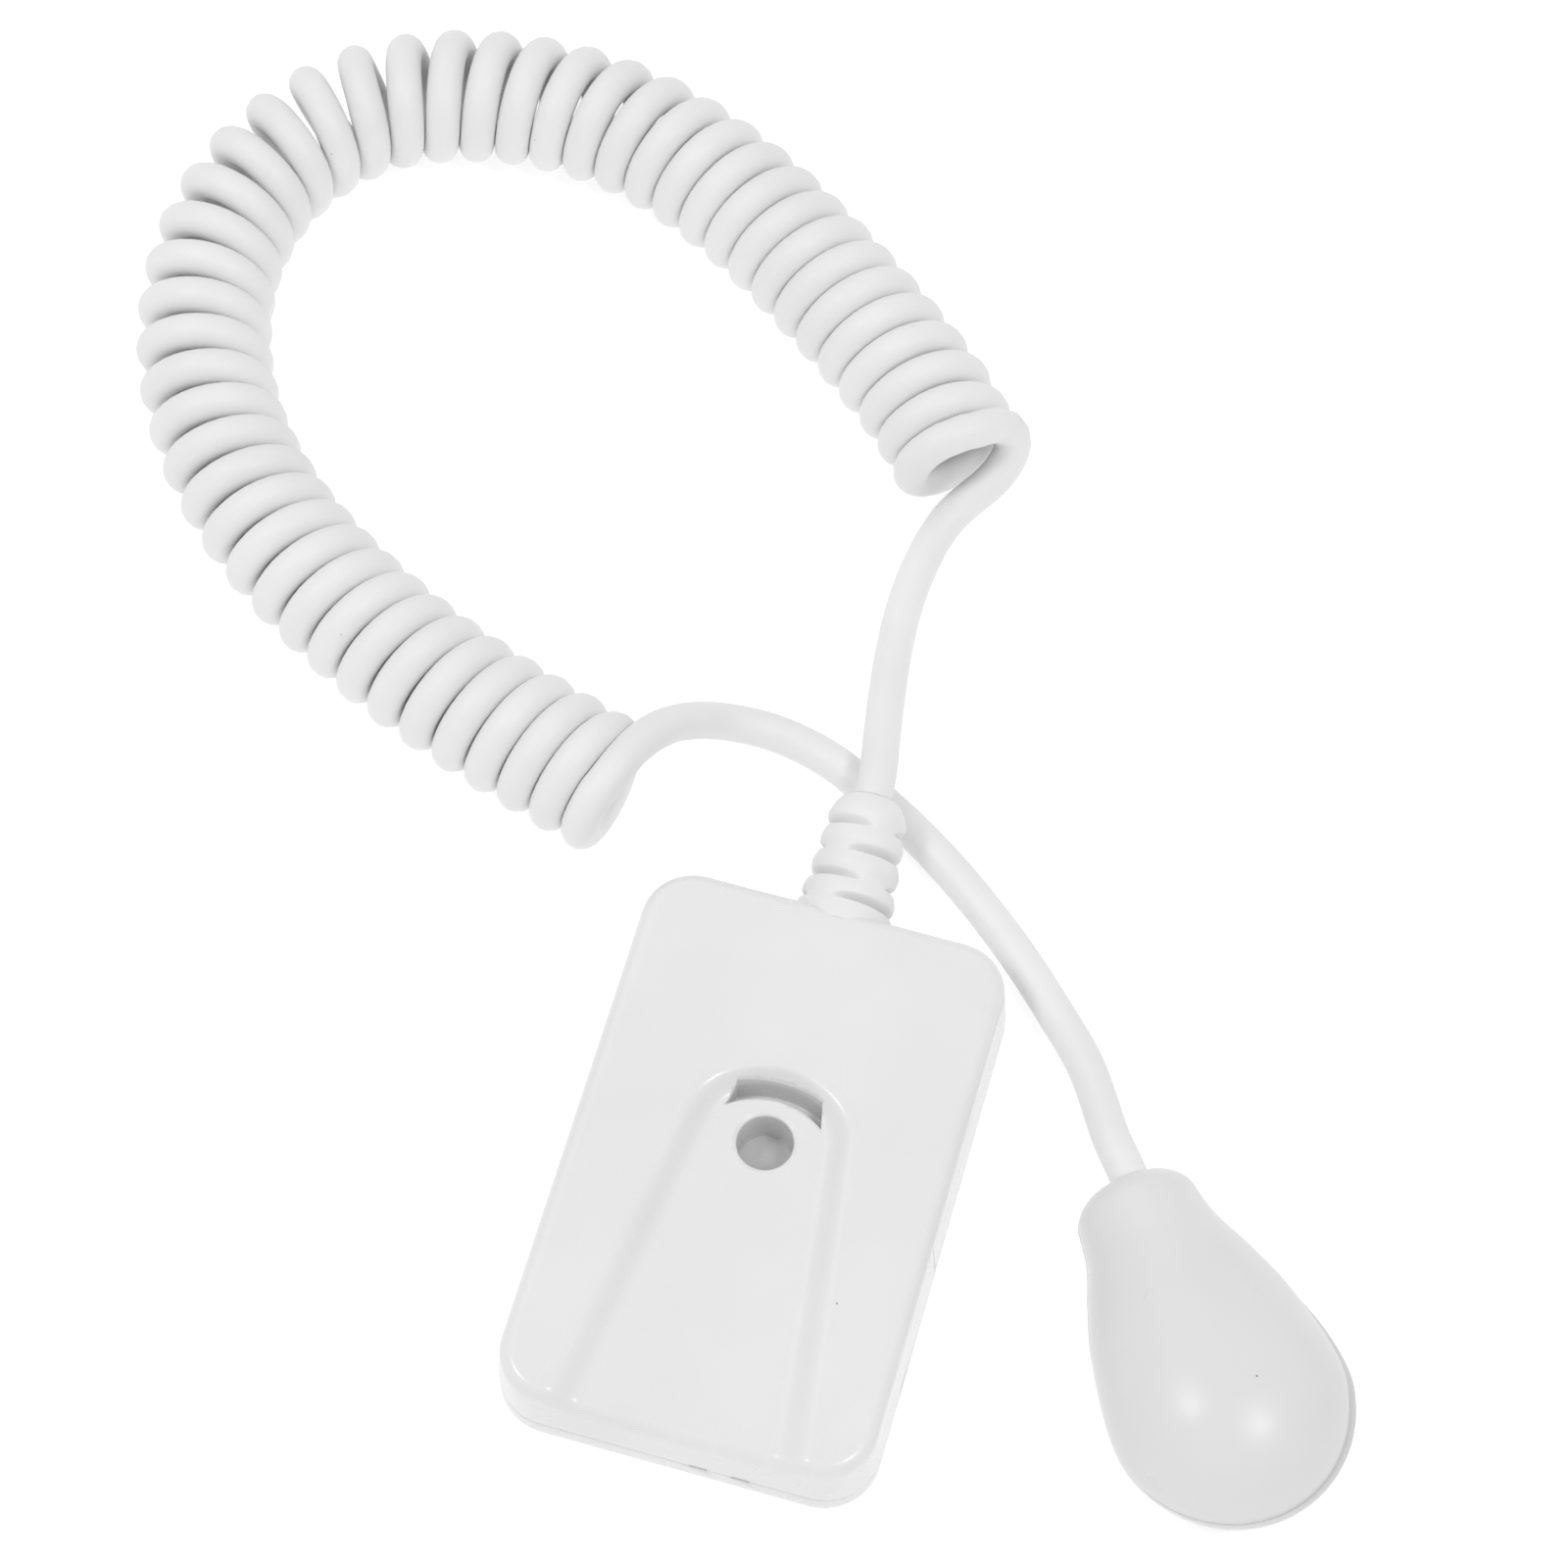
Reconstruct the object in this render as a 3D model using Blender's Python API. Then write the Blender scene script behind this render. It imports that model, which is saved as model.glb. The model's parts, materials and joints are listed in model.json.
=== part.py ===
"""Call switch set: a wall box, a curly cord and a pear-shaped push handset, laid out on a surface.

Frame: metres, +Z up. The origin is the middle of the box's front face, which lies on the surface,
so the box's rear cover faces up. +X runs across the box and +Y along it, towards the cord.
The handset lies beside the box with its push button facing down.
"""
import math

import bmesh
import bpy
import numpy as np
from mathutils import Matrix, Vector

MM = 0.001
GAP = 0.3 * MM                      # clearance between pieces that touch
PAST = 1.0 * MM                     # how far a cutting tool reaches past a face
ROOT = 0.4 * MM                     # how far a joined feature is sunk into its base

# ---- Box -------------------------------------------------------------------------------------
BOX_WIDTH = 51.0 * MM
BOX_LENGTH = 77.4 * MM
BOX_HEIGHT = 13.5 * MM
BOX_CORNER = 7.5 * MM               # corner radius in plan
BOX_TOP_ROUND = 1.9 * MM            # rounded edge of the rear face
BOX_FRONT_ROUND = 1.0 * MM          # rounded edge of the front face
BOX_DRAFT = 0.6 * MM                # how far each wall leans in over the rear cover's height
BOX_WALL = 1.8 * MM
FRONT_DEPTH = 4.0 * MM              # height of the front cover, up to the seam
FRONT_PLATE = 1.6 * MM
CEILING = BOX_HEIGHT - 1.7 * MM     # underside of the rear plate

# Bracket recess in the rear face: an arch that widens to the open bottom end
WELL_Y = 3.85 * MM                  # centre of the arch and of the round well
RECESS_DEPTH = 2.0 * MM
RECESS_FLOOR = BOX_HEIGHT - RECESS_DEPTH
ARCH_RADIUS = 8.9 * MM              # at the recess floor
RECESS_SLOPE = 1.5 * MM             # how far the sides lean out over the depth
RECESS_END_HALF = 15.0 * MM         # half width at the open end, at the floor
RECESS_SKIN = 1.5 * MM
WELL_RADIUS = 3.75 * MM
WELL_DEPTH = 7.4 * MM
WELL_WALL = 1.2 * MM
SLOT_CENTRE_Y = WELL_Y - 4.8 * MM   # both arcs of the slot are struck from here
SLOT_INNER = 10.8 * MM
SLOT_OUTER = 13.3 * MM
SLOT_INNER_HALF = 6.5 * MM          # half lengths, measured straight across
SLOT_OUTER_HALF = 5.8 * MM
SLOT_DEPTH = 4.0 * MM
SLOT_SKIN = 0.8 * MM
PRY_END_X = (3.3 * MM, 8.9 * MM)    # notches in the seam, at the bottom end
PRY_SIDE_Y = -19.8 * MM             # and one on each side
PRY_WIDTH = 2.2 * MM
PRY_DEPTH = 0.7 * MM
PRY_HEIGHT = 1.2 * MM

# Call key and its switch, on the front face
KEY_Y = -19.0 * MM
KEY_RADIUS = 11.0 * MM
KEY_RECESS = 0.4 * MM               # key face below the front face
KEY_FLANGE = 12.2 * MM
KEY_TRAVEL = 0.5 * MM
LAMP_Y = 26.0 * MM
LAMP_RADIUS = 2.0 * MM
PLUNGER_RADIUS = 1.4 * MM           # plunger of each of the two switches
PLUNGER_BORE = 1.7 * MM

# Circuit board inside the box
BOARD_Z = 5.4 * MM
BOARD_THICK = 1.0 * MM
BOARD_X = 43.0 * MM
BOARD_Y = 66.0 * MM
BOARD_MID_Y = -1.0 * MM
BOARD_SCREW_X = 18.5 * MM
BOARD_SCREW_Y = (-28.0 * MM, 8.0 * MM)
POST_RADIUS = 2.2 * MM
PILOT_RADIUS = 1.2 * MM
SCREW_SHANK = 0.9 * MM
SCREW_HEAD = 1.9 * MM
SCREW_HOLE = 1.3 * MM

# Cord entry and strain relief
CORD_DIAMETER = 5.2 * MM
CORD_RADIUS = CORD_DIAMETER / 2
ENTRY_X = 0.6 * MM
ENTRY_Z = 6.9 * MM
ENTRY_RADIUS = 4.3 * MM             # hole through the end wall
RELIEF_NECK = 4.0 * MM              # radius through the wall
RELIEF_FLANGE = 4.9 * MM            # radius of the flange inside the wall
RELIEF_BASE = 6.4 * MM              # radius of the ring next to the box
RELIEF_TIP = 5.0 * MM               # radius of the ring at the tip
RELIEF_LENGTH = 17.2 * MM
RELIEF_RINGS = 4
RELIEF_RISE = 2.8 * MM              # the tip is bent up over the crossing cord

# Curly cord
COIL_DIAMETER = 19.5 * MM
COIL_RADIUS = COIL_DIAMETER / 2

# Handset: local +Y points from the bulb to the neck, local +Z out of its back
PEAR_ORIGIN = Vector((65.8 * MM, -13.25 * MM, 10.7 * MM))
PEAR_HEADING = math.radians(36.6)   # turn about Z
PEAR_PITCH = math.radians(-5)       # neck down
PEAR_ROLL = math.radians(-4)        # right side up
PEAR_REAR = 11.6 * MM               # height of the back above the split
PEAR_FRONT = 9.0 * MM               # depth of the front below the split
PEAR_NECK_REAR = 7.8 * MM
PEAR_NECK_FRONT = 7.4 * MM
PEAR_WALL = 1.7 * MM
PEAR_LIP = 0.4 * MM                 # how far the front half stands out at the split
PEAR_END = 32.0 * MM                # neck end, from the middle of the bulb
PEAR_TAIL = -17.2 * MM              # far end of the bulb
PEAR_HALF = 15.8 * MM               # half width of the bulb
PEAR_NECK_HALF = 8.5 * MM

BUTTON_RADIUS = 10.0 * MM
BUTTON_FACE = -8.5 * MM
BUTTON_FLANGE = 11.2 * MM
BUTTON_TRAVEL = 1.5 * MM
COLLAR_RADIUS = 13.0 * MM
COLLAR_FACE = -9.2 * MM
COLLAR_LIP = 2.4 * MM               # thickness of the lip that keeps the button in
SWITCH_BOARD_Z = 0.3 * MM           # underside of the handset's board, above the split
SWITCH_BOARD_THICK = 1.0 * MM
PEAR_SCREW_X = 5.5 * MM
PEAR_SCREW_Y = 15.4 * MM
PEAR_BOSS_TOP = 7.2 * MM            # safely inside the back wall
PEAR_BOSS = 2.3 * MM
PEAR_POST = 3.0 * MM                # radius kept solid round each screw in the front half
PEAR_CORD_X = 0.9 * MM              # the cord comes in a little to the right of the middle

# Free cord: centre-line points chosen along its lie, from the strain relief to the coil ...
LEAD_BOX_ROUTE = [
    (0.0, 56.9, 9.9), (-0.3, 60.4, 9.5), (-1.3, 65.9, 7.9), (-2.8, 74.4, 5.2), (-4.0, 82.7, 3.3),
    (-4.5, 89.9, 2.65), (-4.2, 96.5, 2.65), (-3.3, 101.9, 2.95), (-1.9, 106.2, 3.6), (-0.4, 109.4, 4.5),
]
# ... along the middle of the coil ...
COIL_ROUTE = [
    (-2.2, 111.6), (-8.4, 118.6), (-17.0, 126.1), (-25.3, 132.5), (-33.5, 138.3), (-42.0, 143.7),
    (-51.2, 148.3), (-61.3, 151.9), (-72.2, 153.4), (-83.8, 152.6), (-93.6, 149.8), (-102.0, 145.0),
    (-108.8, 137.4), (-113.2, 128.0), (-114.8, 117.3), (-113.5, 106.2), (-109.8, 95.6),
    (-103.8, 85.8), (-95.6, 77.0), (-86.4, 69.9), (-76.4, 64.0), (-66.0, 58.9), (-55.6, 54.9),
    (-45.6, 51.7), (-33.8, 48.2),
]
# ... and from the coil to the handset, where it follows the handset's own axis.
LEAD_PEAR_ROUTE = [
    (-28.4, 60.4, 10.3), (-26.2, 62.8, 7.6), (-22.9, 65.2, 4.7), (-17.9, 66.0, 3.0),
    (-12.7, 65.5, 2.65), (-7.1, 63.8, 2.65), (-1.4, 60.9, 2.65), (4.4, 57.7, 2.65), (10.8, 53.6, 2.65),
    (18.0, 48.2, 2.65), (25.0, 42.2, 2.65), (31.6, 35.6, 3.0), (37.5, 28.6, 4.6),
]


# ---- Scene, materials and small helpers --------------------------------------------------------
def clear_scene():
    for item in list(bpy.data.objects):
        bpy.data.objects.remove(item, do_unlink=True)


def collection(name):
    made = bpy.data.collections.new(name)
    bpy.context.scene.collection.children.link(made)
    return made


def material(name, colour, roughness, metallic=0.0):
    made = bpy.data.materials.new(name)
    made.use_nodes = True
    shader = made.node_tree.nodes["Principled BSDF"]
    shader.inputs["Base Color"].default_value = (*colour, 1.0)
    shader.inputs["Roughness"].default_value = roughness
    shader.inputs["Metallic"].default_value = metallic
    return made


def add(name, bm, finish=None, parent=None, smooth=True):
    """Make an object from a bmesh: a part when it has a finish, otherwise a hidden cutting tool."""
    bmesh.ops.recalc_face_normals(bm, faces=bm.faces)
    mesh = bpy.data.meshes.new(name)
    bm.to_mesh(mesh)
    bm.free()
    made = bpy.data.objects.new(name, mesh)
    if finish:
        PARTS.objects.link(made)
        mesh.materials.append(finish)
        if smooth:
            mesh.shade_smooth()
            mesh.set_sharp_from_angle(angle=math.radians(35))
    else:
        TOOLS.objects.link(made)
        made.hide_render = True
        made.display_type = 'WIRE'
    made.parent = parent
    return made


def boolean(target, tool, operation='DIFFERENCE'):
    step = target.modifiers.new(operation.title() + " " + tool.name, 'BOOLEAN')
    step.operation = operation
    step.object = tool
    return target


def block(bm, low, high):
    """Add a plain block between two corners."""
    low = Vector(low)
    high = Vector(high)
    middle = Matrix.Translation((low + high) / 2)
    size = Matrix.Diagonal((*(high - low), 1.0))
    bmesh.ops.create_cube(bm, size=1.0, matrix=middle @ size)


def disc(bm, centre, radius, z0, z1, sides=32, top_radius=None):
    """Add an upright cylinder or cone between two heights."""
    place = Matrix.Translation((centre[0], centre[1], (z0 + z1) / 2))
    upper = radius if top_radius is None else top_radius
    bmesh.ops.create_cone(bm, cap_ends=True, segments=sides, radius1=radius, radius2=upper,
                          depth=z1 - z0, matrix=place)


def rod(bm, start, end, radius, sides=16):
    """Add a cylinder between two points."""
    start = Vector(start)
    end = Vector(end)
    run = end - start
    turn = run.to_track_quat('Z', 'Y').to_matrix().to_4x4()
    place = Matrix.Translation((start + end) / 2) @ turn
    bmesh.ops.create_cone(bm, cap_ends=True, segments=sides, radius1=radius, radius2=radius,
                          depth=run.length, matrix=place)


def loft(bm, rings):
    """Skin a list of rings with the same number of points, and cap both ends."""
    rows = [[bm.verts.new(point) for point in ring] for ring in rings]
    count = len(rows[0])
    for lower, upper in zip(rows, rows[1:]):
        for i in range(count):
            j = (i + 1) % count
            bm.faces.new((lower[i], lower[j], upper[j], upper[i]))
    bm.faces.new(rows[0][::-1])
    bm.faces.new(rows[-1])


def rounded_block(bm, width, length, z0, z1, corner, draft=0.0, top_round=0.0, bottom_round=0.0):
    """Add a block with rounded upright corners, leaning sides and rounded top or bottom edges."""
    made = bmesh.ops.create_cube(bm, size=1.0)
    verts = made["verts"]
    for vert in verts:
        lean = draft if vert.co.z > 0 else 0.0
        x = math.copysign(width / 2 - lean, vert.co.x)
        y = math.copysign(length / 2 - lean, vert.co.y)
        vert.co = Vector((x, y, z1 if vert.co.z > 0 else z0))
    upright = [e for e in edges_of(verts) if abs(e.verts[0].co.z - e.verts[1].co.z) > (z1 - z0) / 2]
    bmesh.ops.bevel(bm, geom=upright, offset=corner, segments=6, profile=0.5, affect='EDGES')
    for level, radius in ((z1, top_round), (z0, bottom_round)):
        if radius:
            rim = [e for e in bm.edges if on_rim(e, level)]
            bmesh.ops.bevel(bm, geom=rim, offset=radius, segments=4, profile=0.5, affect='EDGES')


def edges_of(verts):
    return list({edge for vert in verts for edge in vert.link_edges})


def on_rim(edge, level):
    """True for an edge between a flat face at this level and a side wall."""
    if any(abs(v.co.z - level) > 1e-7 for v in edge.verts):
        return False
    flat = [all(abs(v.co.z - level) < 1e-7 for v in face.verts) for face in edge.link_faces]
    return any(flat) and not all(flat)


def smooth_route(points, spacing):
    """Points at even steps along a smooth curve through the given ones (centripetal Catmull-Rom)."""
    knots = [Vector(p) for p in points]
    knots = [2 * knots[0] - knots[1]] + knots + [2 * knots[-1] - knots[-2]]
    dense = []
    for a, b, c, d in zip(knots, knots[1:], knots[2:], knots[3:]):
        t1 = (b - a).length ** 0.5
        t2 = t1 + (c - b).length ** 0.5
        t3 = t2 + (d - c).length ** 0.5
        for t in np.linspace(t1, t2, 24, endpoint=False):
            ab = a * ((t1 - t) / t1) + b * (t / t1)
            bc = b * ((t2 - t) / (t2 - t1)) + c * ((t - t1) / (t2 - t1))
            cd = c * ((t3 - t) / (t3 - t2)) + d * ((t - t2) / (t3 - t2))
            abc = ab * ((t2 - t) / t2) + bc * (t / t2)
            bcd = bc * ((t3 - t) / (t3 - t1)) + cd * ((t - t1) / (t3 - t1))
            dense.append(abc * ((t2 - t) / (t2 - t1)) + bcd * ((t - t1) / (t2 - t1)))
    dense.append(knots[-2])
    run = np.cumsum([0.0] + [(q - p).length for p, q in zip(dense, dense[1:])])
    steps = np.linspace(0, run[-1], max(2, round(run[-1] / spacing) + 1))
    columns = [np.interp(steps, run, [p[i] for p in dense]) for i in range(3)]
    return [Vector(p) for p in zip(*columns)]


def tube(name, points, radius, finish=None, resolution=2, parent=None, radii=None):
    """A POLY curve with a round section and filled caps. `radii` scales the section point by point."""
    data = bpy.data.curves.new(name, 'CURVE')
    data.dimensions = '3D'
    data.bevel_depth = radius
    data.bevel_resolution = resolution
    data.use_fill_caps = True
    line = data.splines.new('POLY')
    line.points.add(len(points) - 1)
    for i, point in enumerate(points):
        line.points[i].co = (*point, 1.0)
        line.points[i].radius = radii[i] if radii else 1.0
    made = bpy.data.objects.new(name, data)
    made.parent = parent
    PARTS.objects.link(made)
    if finish:
        data.materials.append(finish)
    return made


def as_mesh(curve, finish=None):
    """Replace a curve object by a welded mesh, so that it can be cut, joined or used as a tool."""
    bpy.context.view_layer.update()
    seen = curve.evaluated_get(bpy.context.evaluated_depsgraph_get())
    bm = bmesh.new()
    bm.from_mesh(bpy.data.meshes.new_from_object(seen))
    bmesh.ops.remove_doubles(bm, verts=bm.verts, dist=1e-6)
    bmesh.ops.transform(bm, matrix=curve.matrix_world, verts=bm.verts)
    name = curve.name
    bpy.data.objects.remove(curve)
    return add(name, bm, finish)


# ---- Box covers ---------------------------------------------------------------------------------
def recess_outline(grow, z, reach=0.0):
    """Arch over the well, widening in straight lines to the box's bottom end and past it."""
    radius = ARCH_RADIUS + grow
    end_y = -BOX_LENGTH / 2
    end_half = RECESS_END_HALF + grow
    # the straight side touches the arch where their directions agree
    lean = math.atan2(RECESS_END_HALF - ARCH_RADIUS, WELL_Y - end_y)
    past = (end_half / RECESS_END_HALF) * reach * math.tan(lean)
    arc = [(radius * math.cos(a), WELL_Y + radius * math.sin(a))
           for a in np.linspace(lean * 0.9, math.pi - lean * 0.9, 21)]
    points = [(end_half + past, end_y - reach)] + arc + [(-end_half - past, end_y - reach)]
    return [(x, y, z) for x, y in points]


def arc_slot(bm, grow, z0, z1):
    """Space between two arcs above the well, made larger all round by `grow`."""
    outer = SLOT_OUTER + grow
    inner = SLOT_INNER - grow
    outer_end = math.asin((SLOT_OUTER_HALF + grow) / outer)
    inner_end = math.asin((SLOT_INNER_HALF + grow) / inner)
    outline = [(outer * math.sin(a), outer * math.cos(a)) for a in np.linspace(-outer_end, outer_end, 13)]
    outline += [(inner * math.sin(a), inner * math.cos(a)) for a in np.linspace(inner_end, -inner_end, 13)]
    loft(bm, [[(x, SLOT_CENTRE_Y + y, z) for x, y in outline] for z in (z0, z1)])


def make_rear_cover(finish):
    bm = bmesh.new()
    z0 = FRONT_DEPTH + GAP
    rounded_block(bm, BOX_WIDTH, BOX_LENGTH, z0, BOX_HEIGHT, BOX_CORNER, BOX_DRAFT, BOX_TOP_ROUND)
    cover = add("rear_cover", bm, finish)

    # cavity, kept clear of the recess skin and the slot's pocket, with the well's tube standing in it
    bm = bmesh.new()
    rounded_block(bm, BOX_WIDTH - 2 * BOX_WALL, BOX_LENGTH - 2 * BOX_WALL, z0 - 2 * MM, CEILING,
                  BOX_CORNER - BOX_WALL, BOX_DRAFT * 0.9)
    cavity = add("tool_rear_cavity", bm)
    bm = bmesh.new()
    loft(bm, [recess_outline(RECESS_SKIN, RECESS_FLOOR - RECESS_SKIN, 2 * MM),
              recess_outline(RECESS_SKIN + RECESS_SLOPE, BOX_HEIGHT, 2 * MM)])
    boolean(cavity, add("tool_recess_skin", bm))
    bm = bmesh.new()
    pocket_floor = RECESS_FLOOR - SLOT_DEPTH
    arc_slot(bm, SLOT_SKIN, pocket_floor - SLOT_SKIN, BOX_HEIGHT)
    boolean(cavity, add("tool_slot_pocket", bm))
    boolean(cover, cavity)
    bm = bmesh.new()
    well_floor = RECESS_FLOOR - WELL_DEPTH
    disc(bm, (0, WELL_Y), WELL_RADIUS + WELL_WALL, well_floor - WELL_WALL, RECESS_FLOOR - ROOT)
    boolean(cover, add("tool_well_tube", bm), 'UNION')

    # bracket recess, arc slot and blind well, open to the rear
    bm = bmesh.new()
    loft(bm, [recess_outline(0.0, RECESS_FLOOR, 4 * MM),
              recess_outline(RECESS_SLOPE * 1.25, RECESS_FLOOR + RECESS_DEPTH * 1.25, 4 * MM)])
    boolean(cover, add("tool_recess", bm))
    bm = bmesh.new()
    arc_slot(bm, 0.0, pocket_floor, BOX_HEIGHT + PAST)
    boolean(cover, add("tool_slot", bm))
    bm = bmesh.new()
    disc(bm, (0, WELL_Y), WELL_RADIUS, well_floor, BOX_HEIGHT + PAST, 40)
    boolean(cover, add("tool_well", bm))
    boolean(cover, entry_hole_tool("tool_rear_entry"))
    boolean(cover, pry_slots_tool())


def entry_hole_tool(name):
    bm = bmesh.new()
    y = BOX_LENGTH / 2
    rod(bm, (ENTRY_X, y - 4 * MM, ENTRY_Z), (ENTRY_X, y + 2 * MM, ENTRY_Z), ENTRY_RADIUS, 28)
    return add(name, bm)


def pry_slots_tool():
    """Small notches in the seam for levering the covers apart: two at the end, one on each side."""
    bm = bmesh.new()
    high = PRY_HEIGHT / 2
    half = PRY_WIDTH / 2
    seam = FRONT_DEPTH + GAP
    end_y = -BOX_LENGTH / 2
    for x in PRY_END_X:
        block(bm, (x - half, end_y - PRY_DEPTH, seam - high), (x + half, end_y + PRY_DEPTH, seam + high))
    for side in (-1, 1):
        x = side * BOX_WIDTH / 2
        block(bm, (x - PRY_DEPTH, PRY_SIDE_Y - half, seam - high),
              (x + PRY_DEPTH, PRY_SIDE_Y + half, seam + high))
    return add("tool_pry_slots", bm)


def make_front_cover(finish):
    bm = bmesh.new()
    rounded_block(bm, BOX_WIDTH, BOX_LENGTH, 0.0, FRONT_DEPTH, BOX_CORNER,
                  bottom_round=BOX_FRONT_ROUND)
    cover = add("front_cover", bm, finish)

    bm = bmesh.new()
    rounded_block(bm, BOX_WIDTH - 2 * BOX_WALL, BOX_LENGTH - 2 * BOX_WALL, FRONT_PLATE,
                  FRONT_DEPTH + 2 * MM, BOX_CORNER - BOX_WALL)
    boolean(cover, add("tool_front_cavity", bm))

    # tongue that locates the rear cover, standing inside its wall
    tongue_out = BOX_WALL + GAP + 0.15 * MM
    tongue_in = tongue_out + 1.0 * MM
    tongue_top = FRONT_DEPTH + 1.2 * MM
    bm = bmesh.new()
    rounded_block(bm, BOX_WIDTH - 2 * tongue_out, BOX_LENGTH - 2 * tongue_out, FRONT_PLATE - ROOT,
                  tongue_top, BOX_CORNER - tongue_out)
    tongue = add("tool_tongue", bm)
    bm = bmesh.new()
    rounded_block(bm, BOX_WIDTH - 2 * tongue_in, BOX_LENGTH - 2 * tongue_in, 0.0,
                  tongue_top + PAST, BOX_CORNER - tongue_in)
    boolean(tongue, add("tool_tongue_inside", bm))
    boolean(cover, tongue, 'UNION')

    # posts for the circuit board, with pilot holes for its screws
    bm = bmesh.new()
    for x, y in board_screw_places():
        disc(bm, (x, y), POST_RADIUS, FRONT_PLATE - ROOT, BOARD_Z - GAP, 20)
    boolean(cover, add("tool_board_posts", bm), 'UNION')
    bm = bmesh.new()
    for x, y in board_screw_places():
        disc(bm, (x, y), PILOT_RADIUS, FRONT_PLATE + ROOT, BOARD_Z + PAST, 14)
    boolean(cover, add("tool_board_pilots", bm))

    bm = bmesh.new()
    disc(bm, (0, KEY_Y), KEY_RADIUS + GAP, -PAST, FRONT_PLATE + PAST, 40)
    disc(bm, (0, LAMP_Y), LAMP_RADIUS + GAP, -PAST, FRONT_PLATE + PAST, 20)
    boolean(cover, add("tool_front_holes", bm))
    boolean(cover, entry_hole_tool("tool_front_entry"))
    inner = BOX_LENGTH / 2 - BOX_WALL
    bm = bmesh.new()
    rod(bm, (ENTRY_X, inner - 3 * MM, ENTRY_Z), (ENTRY_X, inner - 0.1 * MM, ENTRY_Z),
        RELIEF_FLANGE + GAP, 28)
    boolean(cover, add("tool_flange_room", bm))


def board_screw_places():
    return [(side * BOARD_SCREW_X, y) for y in BOARD_SCREW_Y for side in (-1, 1)]


# ---- Box contents -------------------------------------------------------------------------------
def make_call_key(finish, switch_finish, plunger_finish):
    pivot = bpy.data.objects.new("call_key_slide", None)
    pivot.location = (0, KEY_Y, 0)
    PARTS.objects.link(pivot)
    bm = bmesh.new()
    face = KEY_RECESS
    disc(bm, (0, 0), KEY_RADIUS - 0.5 * MM, face, face + 0.5 * MM, 40, KEY_RADIUS)
    key = add("call_key", bm, finish, pivot)
    bm = bmesh.new()
    flange = FRONT_PLATE + GAP
    disc(bm, (0, 0), KEY_RADIUS, face + 0.3 * MM, flange + 0.4 * MM, 40)
    body = add("tool_key_body", bm, parent=pivot)
    bm = bmesh.new()
    disc(bm, (0, 0), KEY_FLANGE, flange, flange + 0.7 * MM, 40)
    boolean(body, add("tool_key_flange", bm, parent=pivot), 'UNION')
    boolean(key, body, 'UNION')

    # tactile switch under the board, with its plunger standing just clear of the key
    body_top = BOARD_Z - GAP
    body_bottom = body_top - 1.4 * MM
    bm = bmesh.new()
    block(bm, (-3 * MM, KEY_Y - 3 * MM, body_bottom), (3 * MM, KEY_Y + 3 * MM, body_top))
    switch = add("call_switch", bm, switch_finish, smooth=False)
    bm = bmesh.new()
    plunger_top = body_bottom + 0.4 * MM
    disc(bm, (0, KEY_Y), PLUNGER_BORE, body_bottom - PAST, plunger_top + KEY_TRAVEL + 0.2 * MM, 20)
    boolean(switch, add("tool_switch_bore", bm))
    bm = bmesh.new()
    disc(bm, (0, 0), PLUNGER_RADIUS, flange + 0.7 * MM + GAP, plunger_top, 20)
    add("call_switch_plunger", bm, plunger_finish, pivot)


def make_circuit_board(finish):
    bm = bmesh.new()
    top = BOARD_Z + BOARD_THICK
    rounded_block(bm, BOARD_X, BOARD_Y, BOARD_Z, top, 2.5 * MM)
    bmesh.ops.translate(bm, vec=(0, BOARD_MID_Y, 0), verts=bm.verts)
    board = add("circuit_board", bm, finish, smooth=False)
    bm = bmesh.new()
    for x, y in board_screw_places():
        disc(bm, (x, y), SCREW_HOLE, BOARD_Z - PAST, top + PAST, 16)
    disc(bm, (0, WELL_Y), WELL_RADIUS + WELL_WALL + 0.5 * MM, BOARD_Z - PAST, top + PAST, 32)
    boolean(board, add("tool_board_holes", bm))


def make_screws(name, places, head_z, length, finish, parent=None, up=1):
    """Pan-head screws, each its own piece: a shank joined to a head, driven from `up`."""
    for number, (x, y) in enumerate(places, 1):
        bm = bmesh.new()
        low, high = sorted((head_z - up * length, head_z + up * 0.3 * MM))
        disc(bm, (x, y), SCREW_SHANK, low, high, 12)
        screw = add(f"{name}_{number}", bm, finish, parent)
        bm = bmesh.new()
        low, high = sorted((head_z, head_z + up * 1.2 * MM))
        wide, narrow = (1.0, 0.8) if up > 0 else (0.8, 1.0)
        disc(bm, (x, y), SCREW_HEAD * wide, low, high, 16, SCREW_HEAD * narrow)
        boolean(screw, add(f"tool_{name}_{number}", bm, parent=parent), 'UNION')


def make_lamp(led_finish, lens_finish):
    bm = bmesh.new()
    disc(bm, (0, LAMP_Y), LAMP_RADIUS, 0.1 * MM, FRONT_PLATE + 0.5 * MM, 20)
    lens = add("lamp_lens", bm, lens_finish)
    bm = bmesh.new()
    disc(bm, (0, LAMP_Y), LAMP_RADIUS + 1.2 * MM, FRONT_PLATE + GAP, FRONT_PLATE + 1.0 * MM, 20)
    boolean(lens, add("tool_lens_flange", bm), 'UNION')
    bm = bmesh.new()
    block(bm, (-1.6 * MM, LAMP_Y - 1.4 * MM, BOARD_Z - GAP - 1.1 * MM),
          (1.6 * MM, LAMP_Y + 1.4 * MM, BOARD_Z - GAP))
    add("call_lamp", bm, led_finish, smooth=False)


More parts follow.
